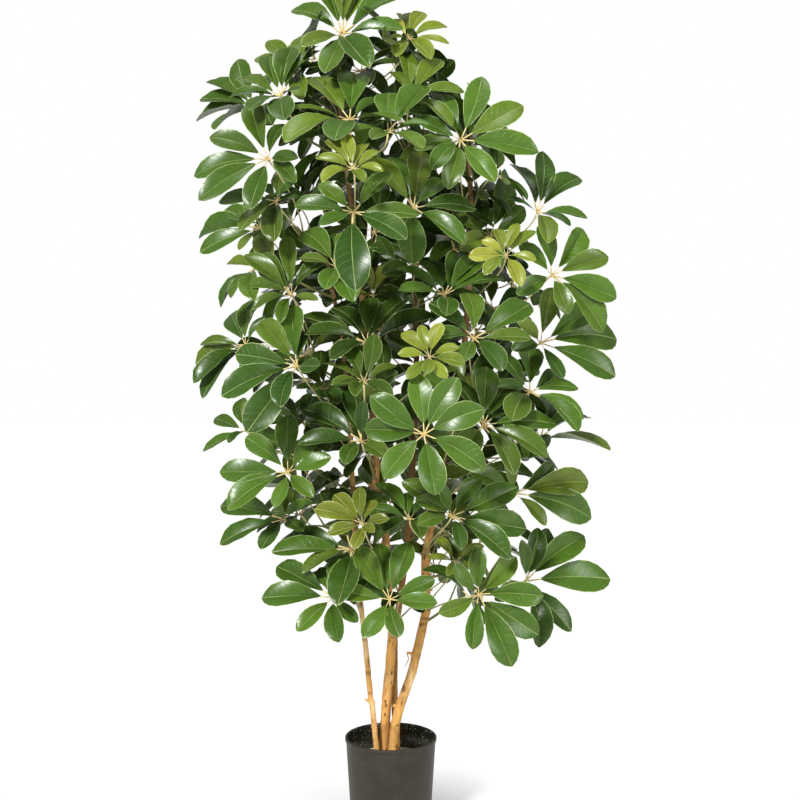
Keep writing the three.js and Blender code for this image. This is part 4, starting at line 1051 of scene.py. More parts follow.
class Shader:
    """The nodes of one material, which end in a Principled surface."""

    def __init__(self, name: str, surface: dict[str, float]) -> None:
        """Starts a material.

        Args:
            name: The material's name.
            surface: The surface's values that are the same all over.
        """
        self.material = bpy.data.materials.new(name)
        self.material.use_nodes = True
        self.tree = self.material.node_tree
        self.surface = self.tree.nodes["Principled BSDF"]
        for socket, value in surface.items():
            self.surface.inputs[socket].default_value = value

    def node(self, kind: str, settings: dict, inputs: dict) -> bpy.types.Node:
        """Adds a node.

        Args:
            kind: The node's type.
            settings: Its settings, which are set first.
            inputs: The values or links of its sockets, by name or number.

        Returns:
            The node.
        """
        node = self.tree.nodes.new(kind)
        for name, setting in settings.items():
            setattr(node, name, setting)
        for socket, value in inputs.items():
            if isinstance(value, Num):
                value = value.socket
            if isinstance(value, Socket):
                self.tree.links.new(value, node.inputs[socket])
            elif node.inputs[socket].type == "RGBA":
                node.inputs[socket].default_value = (*value[:3], 1.0)
            else:
                node.inputs[socket].default_value = value
        return node

    def place(self, squeeze: Triple = EVEN) -> Socket:
        """The place on the object, in metres, with each axis multiplied by squeeze."""
        place = self.node("ShaderNodeTexCoord", {}, {}).outputs["Object"]
        if squeeze == EVEN:
            return place
        return self.node("ShaderNodeMapping", {}, {"Vector": place, "Scale": squeeze}).outputs[0]

    def height(self) -> Num:
        """The height above the floor."""
        return Num(self, self.node("ShaderNodeSeparateXYZ", {}, {0: self.place()}).outputs["Z"])

    def carried(self, name: str, output: str) -> Socket:
        """What the points of the piece carry under a name."""
        return self.node("ShaderNodeAttribute", {"attribute_name": name}, {}).outputs[output]

    def cloud(self, scale: float, detail: float = 3.0, squeeze: Triple = EVEN) -> Num:
        """Soft noise from 0 to 1: scale blotches to a metre, finer layers, and each axis squeezed."""
        inputs = {"Vector": self.place(squeeze), "Scale": scale, "Detail": detail}
        return Num(self, self.node("ShaderNodeTexNoise", {}, inputs).outputs[0])

    def dots(self, scale: float, full: float, none: float, squeeze: Triple = EVEN) -> Num:
        """Scattered soft dots, scale to a metre: 1 up to full from their middles, and 0 from none on."""
        cells = self.node("ShaderNodeTexVoronoi", {}, {"Vector": self.place(squeeze), "Scale": scale})
        return 1 - Num(self, cells.outputs["Distance"]).band(full, none)

    def mix(self, factor: Num | float, first: Paint, second: Paint) -> Socket:
        """Blends two colours: the first where the factor is 0 and the second where it is 1."""
        return self.node("ShaderNodeMix", {"data_type": "RGBA"}, {0: factor, 6: first, 7: second}).outputs[2]

    def scaled(self, colour: Paint, share: Num | float) -> Socket:
        """Makes a colour lighter or darker by a share."""
        return self.node("ShaderNodeVectorMath", {"operation": "SCALE"}, {0: colour, 3: share}).outputs[0]

    def finish(
        self, colour: Socket, roughness: Num | None = None, relief: Num | None = None,
        depth: float = 0.0,
    ) -> bpy.types.Material:
        """Links what varies over the surface.

        Args:
            colour: The base colour.
            roughness: The roughness, where it varies.
            relief: The height of the surface's relief, from 0 to 1.
            depth: How many metres a relief of 1 stands out.

        Returns:
            The finished material.
        """
        self.tree.links.new(colour, self.surface.inputs["Base Color"])
        if roughness is not None:
            self.tree.links.new(roughness.socket, self.surface.inputs["Roughness"])
        if relief is not None:
            bump = self.node("ShaderNodeBump", {}, {"Strength": 1.0, "Distance": depth, "Height": relief})
            self.tree.links.new(bump.outputs[0], self.surface.inputs["Normal"])
        return self.material


class LeafPaints(NamedTuple):
    """What is laid over a leaf's own green: on its edge and veins, in blotches, on its rib and underneath.
    The pale on the edge is partly the edge's own paleness and partly a painted highlight.
    """

    pale: Colour
    blotch: Colour
    rib: Colour
    under: Colour


# pale: the colour of the veins, and of the edge, where it is partly a painted highlight
LEAF_PAINTS = {
    Age.OLD: LeafPaints((0.42, 0.52, 0.22), (0.11, 0.18, 0.03), (0.34, 0.42, 0.15), (0.11, 0.17, 0.05)),
    Age.YOUNG: LeafPaints((0.66, 0.64, 0.28), (0.42, 0.45, 0.10), (0.70, 0.66, 0.32), (0.36, 0.40, 0.12)),
}


@dataclass(frozen=True)
class LeafFinish:
    """Glossy leaf: each leaflet's own green, a pale rib, a pale edge that is partly a painted highlight,
    faint side veins and soft blotches.
    """

    skin: Skin
    age: Age
    rib_half_width: float = 0.0058
    veins: float = 9.0
    vein_span: float = 0.8
    vein_slant: float = 0.62
    vein_share: float = 0.04
    blotch_share: float = 0.3
    edge: Pair = (0.89, 0.96)
    under_share: float = 0.4
    relief: float = 0.0005

    def material(self) -> bpy.types.Material:
        """Makes the material of the upper or under side."""
        upper = self.skin is Skin.UPPER
        surface = {"Roughness": 0.34 if upper else 0.55, "Coat Weight": 0.0, "Specular IOR Level": 0.3}
        shader = Shader(f"{self.age.value}_leaf_{self.skin.name.lower()}", surface)
        paints = LEAF_PAINTS[self.age]
        uv = shader.node("ShaderNodeUVMap", {"uv_map": "leaf"}, {}).outputs[0]
        split = shader.node("ShaderNodeSeparateXYZ", {}, {0: uv})
        across = abs(Num(shader, split.outputs["X"]) - 0.5) * LeafletPattern.uv_width
        along = Num(shader, split.outputs["Y"])
        rib = 1 - across.band(self.rib_half_width * 0.5, self.rib_half_width * 1.3)
        turns = 2 * math.pi * self.veins / self.vein_span
        veins = ((along - across * self.vein_slant) * turns).sine().band(0.9, 1.0)
        mottle, grain = shader.cloud(55.0, 4.0), shader.cloud(420.0, 2.0)
        blotch = shader.cloud(14.0, 2.0).band(0.6, 0.75)
        strong = shader.cloud(22.0, 1.0).band(0.35, 0.6)
        # The pale edge: partly the blade's own pale rim and partly a painted highlight along the outline.
        pale_edge_and_highlight = Num(shader, shader.carried("edge", "Fac")).band(*self.edge) * (0.5 + 0.45 * strong)
        colour = shader.scaled(shader.carried("tint", "Color"), 0.50 + 0.54 * mottle + 0.36 * grain)
        colour = shader.mix(blotch * self.blotch_share, colour, paints.blotch)
        colour = shader.mix(veins * self.vein_share, colour, paints.pale)
        colour = shader.mix(pale_edge_and_highlight, colour, paints.pale)
        colour = shader.mix(rib * (0.40 + 0.35 * strong), colour, paints.rib)
        if not upper:
            colour = shader.mix(self.under_share, colour, paints.under)
        roughness = (0.20 if upper else 0.42) + 0.16 * mottle
        relief = (1 - veins) * 0.25 + mottle * 0.5 - rib * 0.5
        return shader.finish(colour, roughness, relief, self.relief)


@dataclass(frozen=True)
class StalkFinish:
    """Smooth green or straw-coloured stalk."""

    age: Age
    relief: float = 0.0002

    def material(self) -> bpy.types.Material:
        """Makes the material."""
        shader = Shader(f"{self.age.value}_stalk", {"Roughness": 0.42})
        mottle = shader.cloud(160.0, 3.0)
        colour = shader.scaled(shader.carried("tint", "Color"), 0.8 + 0.4 * mottle)
        return shader.finish(colour, 0.36 + 0.16 * mottle, mottle, self.relief)


@dataclass(frozen=True)
class BarkFinish:
    """Tan bark with fine upright streaks, brown corky dots and rings, and pale worn patches low down; shade
    darkens the whole bark as painted shade, for a trunk that stands in the shade of the others.
    """

    stem: Stem
    low: Colour = (0.66, 0.35, 0.10)
    high: Colour = (0.31, 0.19, 0.085)
    darkening: Pair = (0.30, 1.0)
    worn: Colour = (0.80, 0.58, 0.29)
    worn_until: Pair = (0.28, 0.6)
    cork: Colour = (0.15, 0.060, 0.018)
    # shade: painted shade, which darkens all the bark of a trunk that stands in the shade of the others
    shade: float = 1.0
    relief: float = 0.0016

    def material(self) -> bpy.types.Material:
        """Makes the material."""
        shader = Shader(f"bark_{self.stem.value}", {"Roughness": 0.7, "Specular IOR Level": 0.2})
        height = shader.height()
        streaks = shader.cloud(150.0, 4.0, (1.0, 1.0, 0.09))
        wide = shader.cloud(26.0, 3.0, (1.0, 1.0, 0.35))
        worn = wide.band(0.5, 0.72) * (1 - height.band(*self.worn_until))
        blots = shader.cloud(75.0, 3.0, (1.0, 1.0, 0.6)).band(0.52, 0.66)
        dots = shader.dots(125.0, 0.14, 0.26, (1.0, 1.0, 0.42))
        sparse = shader.cloud(38.0, 2.0).band(0.34, 0.50)
        rings = shader.cloud(20.0, 2.0, (0.4, 0.4, 3.4)).band(0.60, 0.70)
        knots = shader.dots(24.0, 0.08, 0.16, (1.0, 1.0, 0.7))
        colour = shader.mix(height.band(*self.darkening), self.low, self.high)
        colour = shader.mix(worn, colour, self.worn)
        # painted shade: the whole bark colour is scaled by shade
        colour = shader.scaled(colour, self.shade * (0.58 + 0.84 * streaks))
        for corky in (blots * 0.34, dots * sparse * 0.85, rings * 0.55, knots * 0.75):
            colour = shader.mix(corky, colour, self.cork)
        roughness = 0.55 + 0.25 * streaks + dots * 0.1
        relief = streaks * 0.5 + dots * sparse * 0.6 + wide * 0.4 + blots * 0.3
        return shader.finish(colour, roughness, relief, self.relief)


@dataclass(frozen=True)
class PotFinish:
    """Plain dark plastic: matte and faintly scuffed outside, or glossy, near black and specked inside."""

    inside: bool
    dark: Colour = (0.023, 0.019, 0.011)
    light: Colour = (0.031, 0.026, 0.016)
    scuff: Colour = (0.14, 0.125, 0.105)
    dust: Colour = (0.45, 0.43, 0.38)
    black: Colour = (0.013, 0.014, 0.009)
    crumb: Colour = (0.62, 0.60, 0.54)
    smear: Colour = (0.38, 0.37, 0.32)
    cloud_scale: float = 30.0
    relief: float = 0.00012

    def material(self) -> bpy.types.Material:
        """Makes the material of the inside or outside."""
        return self.inner_plastic() if self.inside else self.outer_plastic()

    def inner_plastic(self) -> bpy.types.Material:
        """Makes the glossy one, with crumbs and smears of plaster."""
        shader = Shader("pot_plastic_inside", {"Roughness": 0.22})
        crumbs = shader.dots(230.0, 0.12, 0.24) * shader.cloud(60.0, 2.0).band(0.44, 0.54)
        smear = shader.cloud(90.0, 4.0, (1.0, 1.0, 0.3)).band(0.58, 0.70)
        colour = shader.scaled(self.black, 0.7 + 0.6 * shader.cloud(self.cloud_scale))
        colour = shader.mix(crumbs * 0.8, colour, self.crumb)
        colour = shader.mix(smear * 0.26, colour, self.smear)
        return shader.finish(colour, 0.16 + 0.3 * smear + 0.4 * crumbs)

    def outer_plastic(self) -> bpy.types.Material:
        """Makes the matte one, with scuffs and dust."""
        shader = Shader("pot_plastic_outside", {"Roughness": 0.5, "Specular IOR Level": 0.34})
        mottle = shader.cloud(self.cloud_scale, 4.0)
        streaks = shader.cloud(60.0, 3.0, (1.0, 1.0, 0.15))
        scuffs = shader.dots(70.0, 0.04, 0.12, (1.0, 1.0, 0.25))
        dust = shader.dots(330.0, 0.10, 0.20) * shader.cloud(45.0, 2.0).band(0.58, 0.7)
        colour = shader.mix(mottle.band(0.35, 0.65), self.dark, self.light)
        colour = shader.scaled(colour, 0.80 + 0.4 * streaks)
        colour = shader.mix(scuffs * 0.12, colour, self.scuff)
        colour = shader.mix(dust * 0.3, colour, self.dust)
        return shader.finish(colour, 0.40 + 0.2 * mottle, shader.cloud(900.0, 2.0), self.relief)


@dataclass(frozen=True)
class PlasterFinish:
    """Off-white plaster with fine grit and a few brown crumbs."""

    clean: Colour = (0.90, 0.88, 0.82)
    stained: Colour = (0.80, 0.75, 0.64)
    crumb: Colour = (0.20, 0.12, 0.06)
    relief: float = 0.0016

    def material(self) -> bpy.types.Material:
        """Makes the material."""
        shader = Shader("plaster_rough", {"Roughness": 0.9})
        grit = shader.cloud(260.0, 5.0)
        stain = shader.cloud(34.0, 3.0).band(0.35, 0.7)
        crumbs = shader.dots(190.0, 0.08, 0.16) * shader.cloud(70.0).band(0.55, 0.62)
        colour = shader.mix(stain, self.clean, self.stained)
        colour = shader.scaled(colour, 0.82 + 0.3 * grit)
        colour = shader.mix(crumbs * 0.8, colour, self.crumb)
        return shader.finish(colour, None, grit + crumbs * 0.4, self.relief)


def deselect_all() -> None:
    """Selects nothing, so that an operator acts on the new piece alone."""
    for thing in bpy.context.selected_objects:
        thing.select_set(False)


def placed(name: str) -> Piece:
    """Names the primitive that was added last, and puts its place and turn into its mesh."""
    bpy.ops.object.transform_apply(location=True, rotation=True, scale=True)
    piece = bpy.context.object
    piece.name = piece.data.name = name
    return piece


def drop_maps(mesh: bpy.types.Mesh) -> None:
    """Takes away the pattern maps that a primitive comes with."""
    while mesh.uv_layers:
        mesh.uv_layers.remove(mesh.uv_layers[0])


class Shaping:
    """Edit mode on one mesh, whose parts are selected by their place."""

    def __init__(self, piece: Piece) -> None:
        """Takes the piece to be shaped."""
        self.piece = piece

    def __enter__(self) -> "Shaping":
        """Goes into edit mode, with vertices to be selected."""
        deselect_all()
        self.piece.select_set(True)
        bpy.context.view_layer.objects.active = self.piece
        bpy.ops.object.mode_set(mode="EDIT")
        bpy.ops.mesh.select_mode(type="VERT")
        return self

    def __exit__(self, *problem: object) -> None:
        """Goes back to object mode."""
        bpy.ops.object.mode_set(mode="OBJECT")

    def pick(self, test: Callable[[Vector], bool]) -> None:
        """Selects the points whose place passes a test, and the edges and faces between them."""
        mesh = bmesh.from_edit_mesh(self.piece.data)
        for vertex in mesh.verts:
            vertex.select = test(vertex.co)
        mesh.select_flush_mode()
        bmesh.update_edit_mesh(self.piece.data)

    def pick_edges(self, test: Callable[[bmesh.types.BMEdge], bool]) -> None:
        """Selects the edges that pass a test.

        Args:
            test: What an edge has to pass.
        """
        bpy.ops.mesh.select_mode(type="EDGE")
        mesh = bmesh.from_edit_mesh(self.piece.data)
        for edge in mesh.edges:
            edge.select_set(False)
        for edge in mesh.edges:
            if test(edge):
                edge.select_set(True)
        bmesh.update_edit_mesh(self.piece.data)

    def extrude(self, step: Vector) -> None:
        """Pulls new faces out of what is selected."""
        bpy.ops.mesh.extrude_region_move(TRANSFORM_OT_translate={"value": step})

    def resize(self, factor: Sequence[float], centre: Sequence[float]) -> None:
        """Resizes what is selected about a centre."""
        bpy.ops.transform.resize(value=factor, center_override=centre)

    def make_outward(self) -> None:
        """Turns all faces outward."""
        bpy.ops.mesh.select_all(action="SELECT")
        bpy.ops.mesh.normals_make_consistent(inside=False)


class Ring(NamedTuple):
    """A level ring of a turned or grown piece."""

    centre: Vector
    radius: float


def grow(name: str, rings: Sequence[Ring], sides: int, smooth_angle: float = 180.0) -> Piece:
    """Models a closed piece by pulling a disc up through a row of rings.

    Args:
        name: The piece's name.
        rings: The rings, in order.
        sides: How many sides it has round it.
        smooth_angle: Up to which angle its faces shade smoothly into each other.

    Returns:
        The piece.
    """
    deselect_all()
    bpy.ops.mesh.primitive_circle_add(
        vertices=sides, radius=rings[0].radius, fill_type="NGON", location=rings[0].centre)
    piece = placed(name)
    with Shaping(piece) as shaping:
        bpy.ops.mesh.select_all(action="SELECT")
        for last, ring in zip(rings, rings[1:]):
            shaping.extrude(ring.centre - last.centre)
            factor = ring.radius / last.radius
            shaping.resize((factor, factor, 1.0), ring.centre)
        shaping.make_outward()
    bpy.ops.object.shade_smooth_by_angle(angle=math.radians(smooth_angle))
    return piece


def apply_modifier(piece: Piece, kind: str, settings: dict) -> None:
    """Adds a modifier to a piece and applies it.

    Args:
        piece: The piece.
        kind: The modifier's type.
        settings: Its settings.
    """
    deselect_all()
    piece.select_set(True)
    bpy.context.view_layer.objects.active = piece
    modifier = piece.modifiers.new(kind.lower(), kind)
    for name, value in settings.items():
        setattr(modifier, name, value)
    bpy.ops.object.modifier_apply(modifier=modifier.name)


def roughen(piece: Piece, size: float, depth: int, settings: dict) -> None:
    """Makes a surface uneven with soft lumps.

    Args:
        piece: The piece.
        size: How wide the lumps are.
        depth: How many layers of finer lumps they carry.
        settings: The modifier's other settings.
    """
    lumps = bpy.data.textures.new(piece.name, "CLOUDS")
    lumps.noise_scale, lumps.noise_depth = size, depth
    apply_modifier(piece, "DISPLACE", {"texture": lumps, "texture_coords": "LOCAL", **settings})


def joined(pieces: Sequence[Piece], name: str) -> Piece:
    """Joins pieces into one, which keeps their materials and attributes.

    Args:
        pieces: The pieces.
        name: The new piece's name.

    Returns:
        The joined piece.
    """
    deselect_all()
    for piece in pieces:
        piece.select_set(True)
    bpy.context.view_layer.objects.active = pieces[0]
    if len(pieces) > 1:
        bpy.ops.object.join()
    pieces[0].name = pieces[0].data.name = name
    return pieces[0]


def settle(piece: Piece, slot: Slot, *nodes: str) -> None:
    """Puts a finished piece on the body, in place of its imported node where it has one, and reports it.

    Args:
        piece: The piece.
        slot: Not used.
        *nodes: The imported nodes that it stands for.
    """
    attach(piece, "root")
    if nodes:
        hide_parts(*nodes)
    LOG.info("%s: %d faces", piece.name, len(piece.data.polygons))


@dataclass
class Pot:
    """The round pot: thin walls that widen upwards, and a low lip that stands out at the rim."""

    foot_radius: float = 0.069
    rim_radius: float = 0.080
    height: float = 0.1525
    wall: float = 0.0022
    floor: float = 0.004
    lip: float = 0.007
    lip_out: float = 0.0014
    foot_recess: float = 0.0016
    sides: int = 72
    sharp: float = 40.0
    levels_outside: tuple[float, ...] = (0.002, 0.040, 0.080, 0.120)
    levels_inside: tuple[float, ...] = (0.150, 0.130, 0.112, 0.080, 0.040, 0.008)

    def outer(self, height: float) -> float:
        """The radius of the outside at a height below the lip."""
        return self.foot_radius + (self.rim_radius - self.lip_out - self.foot_radius) * height / self.height

    def inner(self, height: float) -> float:
        """The radius of the inside at a height."""
        return self.outer(height) - self.wall

    def profile(self) -> list[Pair]:
        """Radii and heights: up the outside, over the lip and down the inside to the floor."""
        foot, rim, top = self.foot_radius, self.rim_radius, self.height
        under_lip = top - self.lip
        levels = (*self.levels_outside, under_lip - 0.0008)
        outside = [
            (0.010, self.foot_recess), (foot - 0.007, self.foot_recess), (foot - 0.006, 0.0),
            (foot - 0.0012, 0.0), (foot - 0.0003, 0.0005), *((self.outer(level), level) for level in levels),
        ]
        lip = [
            (rim - 0.0007, under_lip + 0.0002), (rim - 0.0001, under_lip + 0.0011), (rim, top - 0.0016),
            (rim - 0.0004, top - 0.0005), (rim - 0.0013, top), (rim - 0.0028, top),
            (self.inner(top) + 0.0003, top - 0.0006),
        ]
        inside = [(self.inner(level), level) for level in self.levels_inside]
        return [*outside, *lip, *inside, (self.inner(0.005) - 0.002, self.floor), (0.010, self.floor)]

    def build(self) -> None:
        """Models the pot and dresses its outside and inside."""
        rings = [Ring(Vector((0, 0, height)), radius) for radius, height in self.profile()]
        pot = grow("pot_shell", rings, self.sides, self.sharp)
        for inside in (False, True):
            pot.data.materials.append(PotFinish(inside).material())
        for face in pot.data.polygons:
            face.material_index = int(self.is_inside(face))
        settle(pot, Slot.POT, "pot")

    def is_inside(self, face: bpy.types.MeshPolygon) -> bool:
        """Tells whether a face belongs to the pot's inside."""
        spoke = Vector((face.center.x, face.center.y, 0.0))
        if face.center.z > self.floor - 0.0005 and spoke.length < self.inner(0.0) - 0.001:
            return True
        facing_in = spoke.length > 0 and face.normal.dot(spoke.normalized()) < -0.3
        return facing_in and face.center.z > self.floor


@dataclass
class PlantingBed:
    """The rough plaster that holds the trunks, a little below the pot's rim."""

    pot: Pot
    top: float = 0.112
    gap: float = 0.0002
    lump: float = 0.0034
    lump_size: float = 0.016
    side_levels: tuple[float, ...] = (0.0045, 0.06, 0.104)
    side_gap: float = 0.0006
    shoulder: float = 0.002
    crown: float = 0.0012
    lumpy_above: float = 0.1095
    inner_rings: tuple[float, ...] = (0.94, 0.86, 0.76, 0.65, 0.53, 0.40, 0.26, 0.12)
    sides: int = 60

    def build(self) -> None:
        """Models the plaster and dresses it."""
        edge = self.pot.inner(self.top) - self.gap
        rings = [Ring(UP * level, self.pot.inner(level) - self.side_gap) for level in self.side_levels]
        rings.append(Ring(UP * (self.top - self.shoulder), edge - self.gap))
        rings += [Ring(UP * (self.top - self.crown * share), edge * share) for share in self.inner_rings]
        bed = grow("plaster_bed", rings, self.sides, 60.0)
        group = bed.vertex_groups.new(name="top")
        upper = [v.index for v in bed.data.vertices
                 if v.co.z > self.lumpy_above and v.co.xy.length < edge * 0.95]
        group.add(upper, 1.0, "REPLACE")
        settings = {"direction": "Z", "strength": self.lump, "mid_level": 0.6, "vertex_group": group.name}
        roughen(bed, self.lump_size, 3, settings)
        bed.data.materials.append(PlasterFinish().material())
        settle(bed, Slot.PLASTER, "planting_bed")


@dataclass
class Trunk:
    """One woody trunk with its scars, knots and dead stubs."""

    stem: Stem
    # shade: painted shade for the bark of a trunk in the shade of the others
    shade: float = 1.0
    step: float = 0.013
    sides: int = 16
    scar: float = 0.05
    swell_from: float = 0.98
    first_seed: int = 40
    roughness: float = 0.0018
    knob_size: float = 0.009
    spur_foot: float = 1.15
    spur_sides: int = 10
    dangling: bool = False

    def rings(self) -> list[Ring]:
        """The rings up the trunk, thickened a little at the scars of old leaves and rounded at the end."""
        rows = stations_of(self.stem)
        heights = np.array([row.z for row in rows])
        levels = sorted({*np.round(np.arange(heights[0], heights[-1], self.step), 4), *heights})
        seed = self.first_seed + ord(self.stem.value)
        rings = []
        for number, level in enumerate(levels):
            radius = float(np.interp(level, heights, [row.radius for row in rows]))
            swell = self.swell_from + self.scar * noise(seed, number) ** 3
            rings.append(Ring(trunk_point(self.stem, level), radius * swell))
        return [*rings, Ring(rings[-1].centre + UP * 0.0004, rings[-1].radius * 0.8)]

    def build_spur(self, spur: Spur) -> Piece:
        """Models a dead stub, which widens into its trunk and is broken off roughly.

        Args:
            spur: Its place and size.

        Returns:
            The stub.
        """
        start, end = Vector(spur.start), Vector(spur.end)
        way = end - start
        deselect_all()
        bpy.ops.mesh.primitive_cone_add(
            vertices=self.spur_sides, radius1=spur.radii[0] * self.spur_foot, radius2=spur.radii[1],
            depth=way.length, location=start + way / 2, rotation=way.to_track_quat("Z", "Y").to_euler())
        stub = placed("stub")
        with Shaping(stub) as shaping:
            bpy.ops.mesh.select_all(action="SELECT")
            bpy.ops.mesh.subdivide(number_cuts=2, fractal=0.12, seed=3)
            shaping.make_outward()
        bpy.ops.object.shade_smooth_by_angle(angle=math.radians(50))
        return stub

    def build_dangling_twig(self) -> Piece:
        """Models the thin dead twig that hangs from a stub of the right-hand trunk."""
        start = Vector(SPURS[Stem.D][1].end) - Vector((0.0012, 0, 0.0006))
        rows = (
            (-0.0030, 0.0, -0.0260, 0.0005), (-0.0008, -0.0006, -0.0195, 0.0009),
            (0.0030, -0.0003, -0.0120, 0.0008), (0.0018, 0.0, -0.0050, 0.0010), (0.0, 0.0, 0.0, 0.0012),
        )
        return grow("dangling_twig", [Ring(start + Vector(row[:3]), row[3]) for row in rows], 6)

    def build(self) -> None:
        """Models the trunk with its stubs and dresses it."""
        name = f"trunk_{self.stem.value}_wood"
        trunk = grow(name, self.rings(), self.sides, 70.0)
        roughen(trunk, self.knob_size, 2, {"strength": self.roughness, "mid_level": 0.5})
        parts = [trunk] + [self.build_spur(spur) for spur in SPURS[self.stem]]
        if self.dangling:
            parts.append(self.build_dangling_twig())
        trunk = joined(parts, name)
        trunk.data.materials.append(BarkFinish(self.stem, shade=self.shade).material())
        settle(trunk, Slot.BARK, f"trunk_{self.stem.value}")


@dataclass
class LeafletPattern:
    """The one modelled leaflet, 1 long from the hub to its tip, which is copied, bent and coloured.

    Its length runs along Y, its width along X and its upper side faces Z. The outline gives, for shares of
    the blade's length, the half width and the angle by which each half is folded up from the rib.
    """

    uv_width: float = 0.5
    base: float = 0.17
    outline: tuple[Triple, ...] = (
        (0.0, 0.014, 34.0), (0.08, 0.060, 30.0), (0.22, 0.130, 26.0), (0.38, 0.188, 22.0),
        (0.54, 0.214, 19.0), (0.69, 0.206, 17.0), (0.83, 0.162, 15.0), (0.94, 0.088, 12.0), (1.0, 0.014, 8.0),
    )
    inner_share: float = 0.52
    inner_lift: float = 0.012
    thickness: float = 0.0055
    stalk_radius: float = 0.0098
    stalk_start: float = 0.02
    stalk_overlap: float = 0.012
    stalk_swell: float = 1.3
    stalk_sides: int = 5
    near: float = 0.001
    clear: float = 4.0

    def blade_y(self, share: float) -> float:
        """The place along the leaflet of a share of its blade."""
        return self.base + (1 - self.base) * share

    def half_width(self, y: np.ndarray) -> np.ndarray:
        """The blade's half width at places along the leaflet."""
        return np.interp(y, [self.blade_y(row[0]) for row in self.outline], [row[1] for row in self.outline])

    def build_blade(self) -> Piece:
        """Models the blade: a grid shaped to the outline, folded along its rib and given its thickness."""
        rows = len(self.outline) - 1
        deselect_all()
        bpy.ops.mesh.primitive_grid_add(x_subdivisions=4, y_subdivisions=rows, size=2)
        blade = bpy.context.object
        with Shaping(blade) as shaping:
            for row, (share, half, _) in enumerate(self.outline):
                before, after = -1 + 2 * row / rows, self.blade_y(share) + self.clear
                shaping.pick(lambda place: abs(place.y - before) < 0.01)
                shaping.resize((half, 1.0, 1.0), (0.0, before, 0.0))
                bpy.ops.transform.translate(value=(0.0, after - before, 0.0))
            bpy.ops.mesh.select_all(action="SELECT")
            bpy.ops.transform.translate(value=(0.0, -self.clear, 0.0))
        self.add_uv(blade)
        self.fold(blade)
        self.crease(blade)
        return self.thicken(blade)

    def add_uv(self, blade: Piece) -> None:
        """Lays the flat blade out as its pattern map."""
        mesh = blade.data
        drop_maps(mesh)
        layer = mesh.uv_layers.new(name="leaf")
        for loop in mesh.loops:
            place = mesh.vertices[loop.vertex_index].co
            layer.data[loop.index].uv = (0.5 + place.x / self.uv_width, place.y)

    def in_row(self, place: Vector, y: float, low: float, high: float, side: int = 0) -> bool:
        """Tells whether a point of a row lies between low and high from the rib, on one side or either."""
        away = place.x * side if side else abs(place.x)
        return abs(place.y - y) < self.near and low < away < high

    def fold(self, blade: Piece) -> None:
        """Folds both halves up from the rib, and bulges each half between the rib and the edge.

        Args:
            blade: The flat blade.
        """
        with Shaping(blade) as shaping:
            for share, half, angle in self.outline:
                y, tilt = self.blade_y(share), math.radians(angle)
                lift = math.tan(tilt) * half * math.cos(tilt)
                bulge = self.inner_lift * min(1.0, half / 0.1)
                rib, edge = half * 0.1, half * 0.8 * math.cos(tilt)
                shaping.pick(lambda place: self.in_row(place, y, rib, half * 0.9))
                shaping.resize((self.inner_share * 2, 1.0, 1.0), (0.0, y, 0.0))
                for side in (-1, 1):
                    shaping.pick(lambda place: self.in_row(place, y, rib, math.inf, side))
                    shaping.resize((math.cos(tilt), 1.0, 1.0), (0.0, y, 0.0))
                    shaping.pick(lambda place: self.in_row(place, y, edge, math.inf, side))
                    bpy.ops.transform.translate(value=(0.0, 0.0, lift))
                    shaping.pick(lambda place: self.in_row(place, y, rib, edge, side))
                    bpy.ops.transform.translate(value=(0.0, 0.0, lift * self.inner_share + bulge))

    def crease(self, blade: Piece) -> None:
        """Marks the rib and the blade's outline as sharp, so that the shading breaks there."""
        with Shaping(blade) as shaping:
            shaping.pick_edges(lambda edge: edge.is_boundary or all(abs(v.co.x) < 1e-4 for v in edge.verts))
            bpy.ops.mesh.mark_sharp()

    def thicken(self, blade: Piece) -> Piece:
        """Gives the blade an underside, which meets the upper side along the outline.

        Args:
            blade: The folded blade.

        Returns:
            The same blade.
        """
        for _ in Skin:
            blade.data.materials.append(None)
        group = blade.vertex_groups.new(name="outline")
        group.add([v.index for v in blade.data.vertices if self.on_outline(v.co)], 1.0, "REPLACE")
        apply_modifier(blade, "SOLIDIFY", {
            "thickness": self.thickness, "offset": 0.0, "use_rim": False, "material_offset": int(Skin.UNDER),
        })
        with Shaping(blade):
            bpy.ops.mesh.select_all(action="DESELECT")
            bpy.ops.object.vertex_group_set_active(group="outline")
            bpy.ops.object.vertex_group_select()
            bpy.ops.mesh.remove_doubles(threshold=self.thickness * 1.12)
            bpy.ops.mesh.select_all(action="DESELECT")
        blade.vertex_groups.remove(blade.vertex_groups["outline"])
        return blade

    def on_outline(self, place: Vector) -> bool:
        """Tells whether a point of the folded blade lies on its outline."""
        first, last = self.blade_y(0.0), self.blade_y(1.0)
        if min(abs(place.y - first), abs(place.y - last)) < self.near:
            return True
        half = float(self.half_width(np.array([place.y]))[0])
        return math.hypot(place.x, place.z) > half * 0.85

    def build_stalk(self) -> Piece:
        """Models the leaflet's own short stalk."""
        length = self.base + self.stalk_overlap - self.stalk_start
        deselect_all()
        bpy.ops.mesh.primitive_cylinder_add(
            vertices=self.stalk_sides, radius=self.stalk_radius, depth=length,
            location=(0.0, self.stalk_start + length / 2, 0.0), rotation=(math.radians(90), 0.0, 0.0))
        stalk = placed("leaflet_stalk")
        with Shaping(stalk) as shaping:
            shaping.pick(lambda place: place.y < 0.1)
            shaping.resize((self.stalk_swell, 1.0, self.stalk_swell), (0.0, self.stalk_start, 0.0))
        bpy.ops.object.shade_smooth_by_angle(angle=math.radians(80))
        as_stalk(stalk.data)
        return stalk

    def is_edge(self, place: Vector) -> bool:
        """Tells whether a point of the blade gets the pale edge, partly a painted highlight, which begins a
        little past the base.
        """
        return place.y > 0.22 and (place.y > self.blade_y(0.97) or self.on_outline(place))

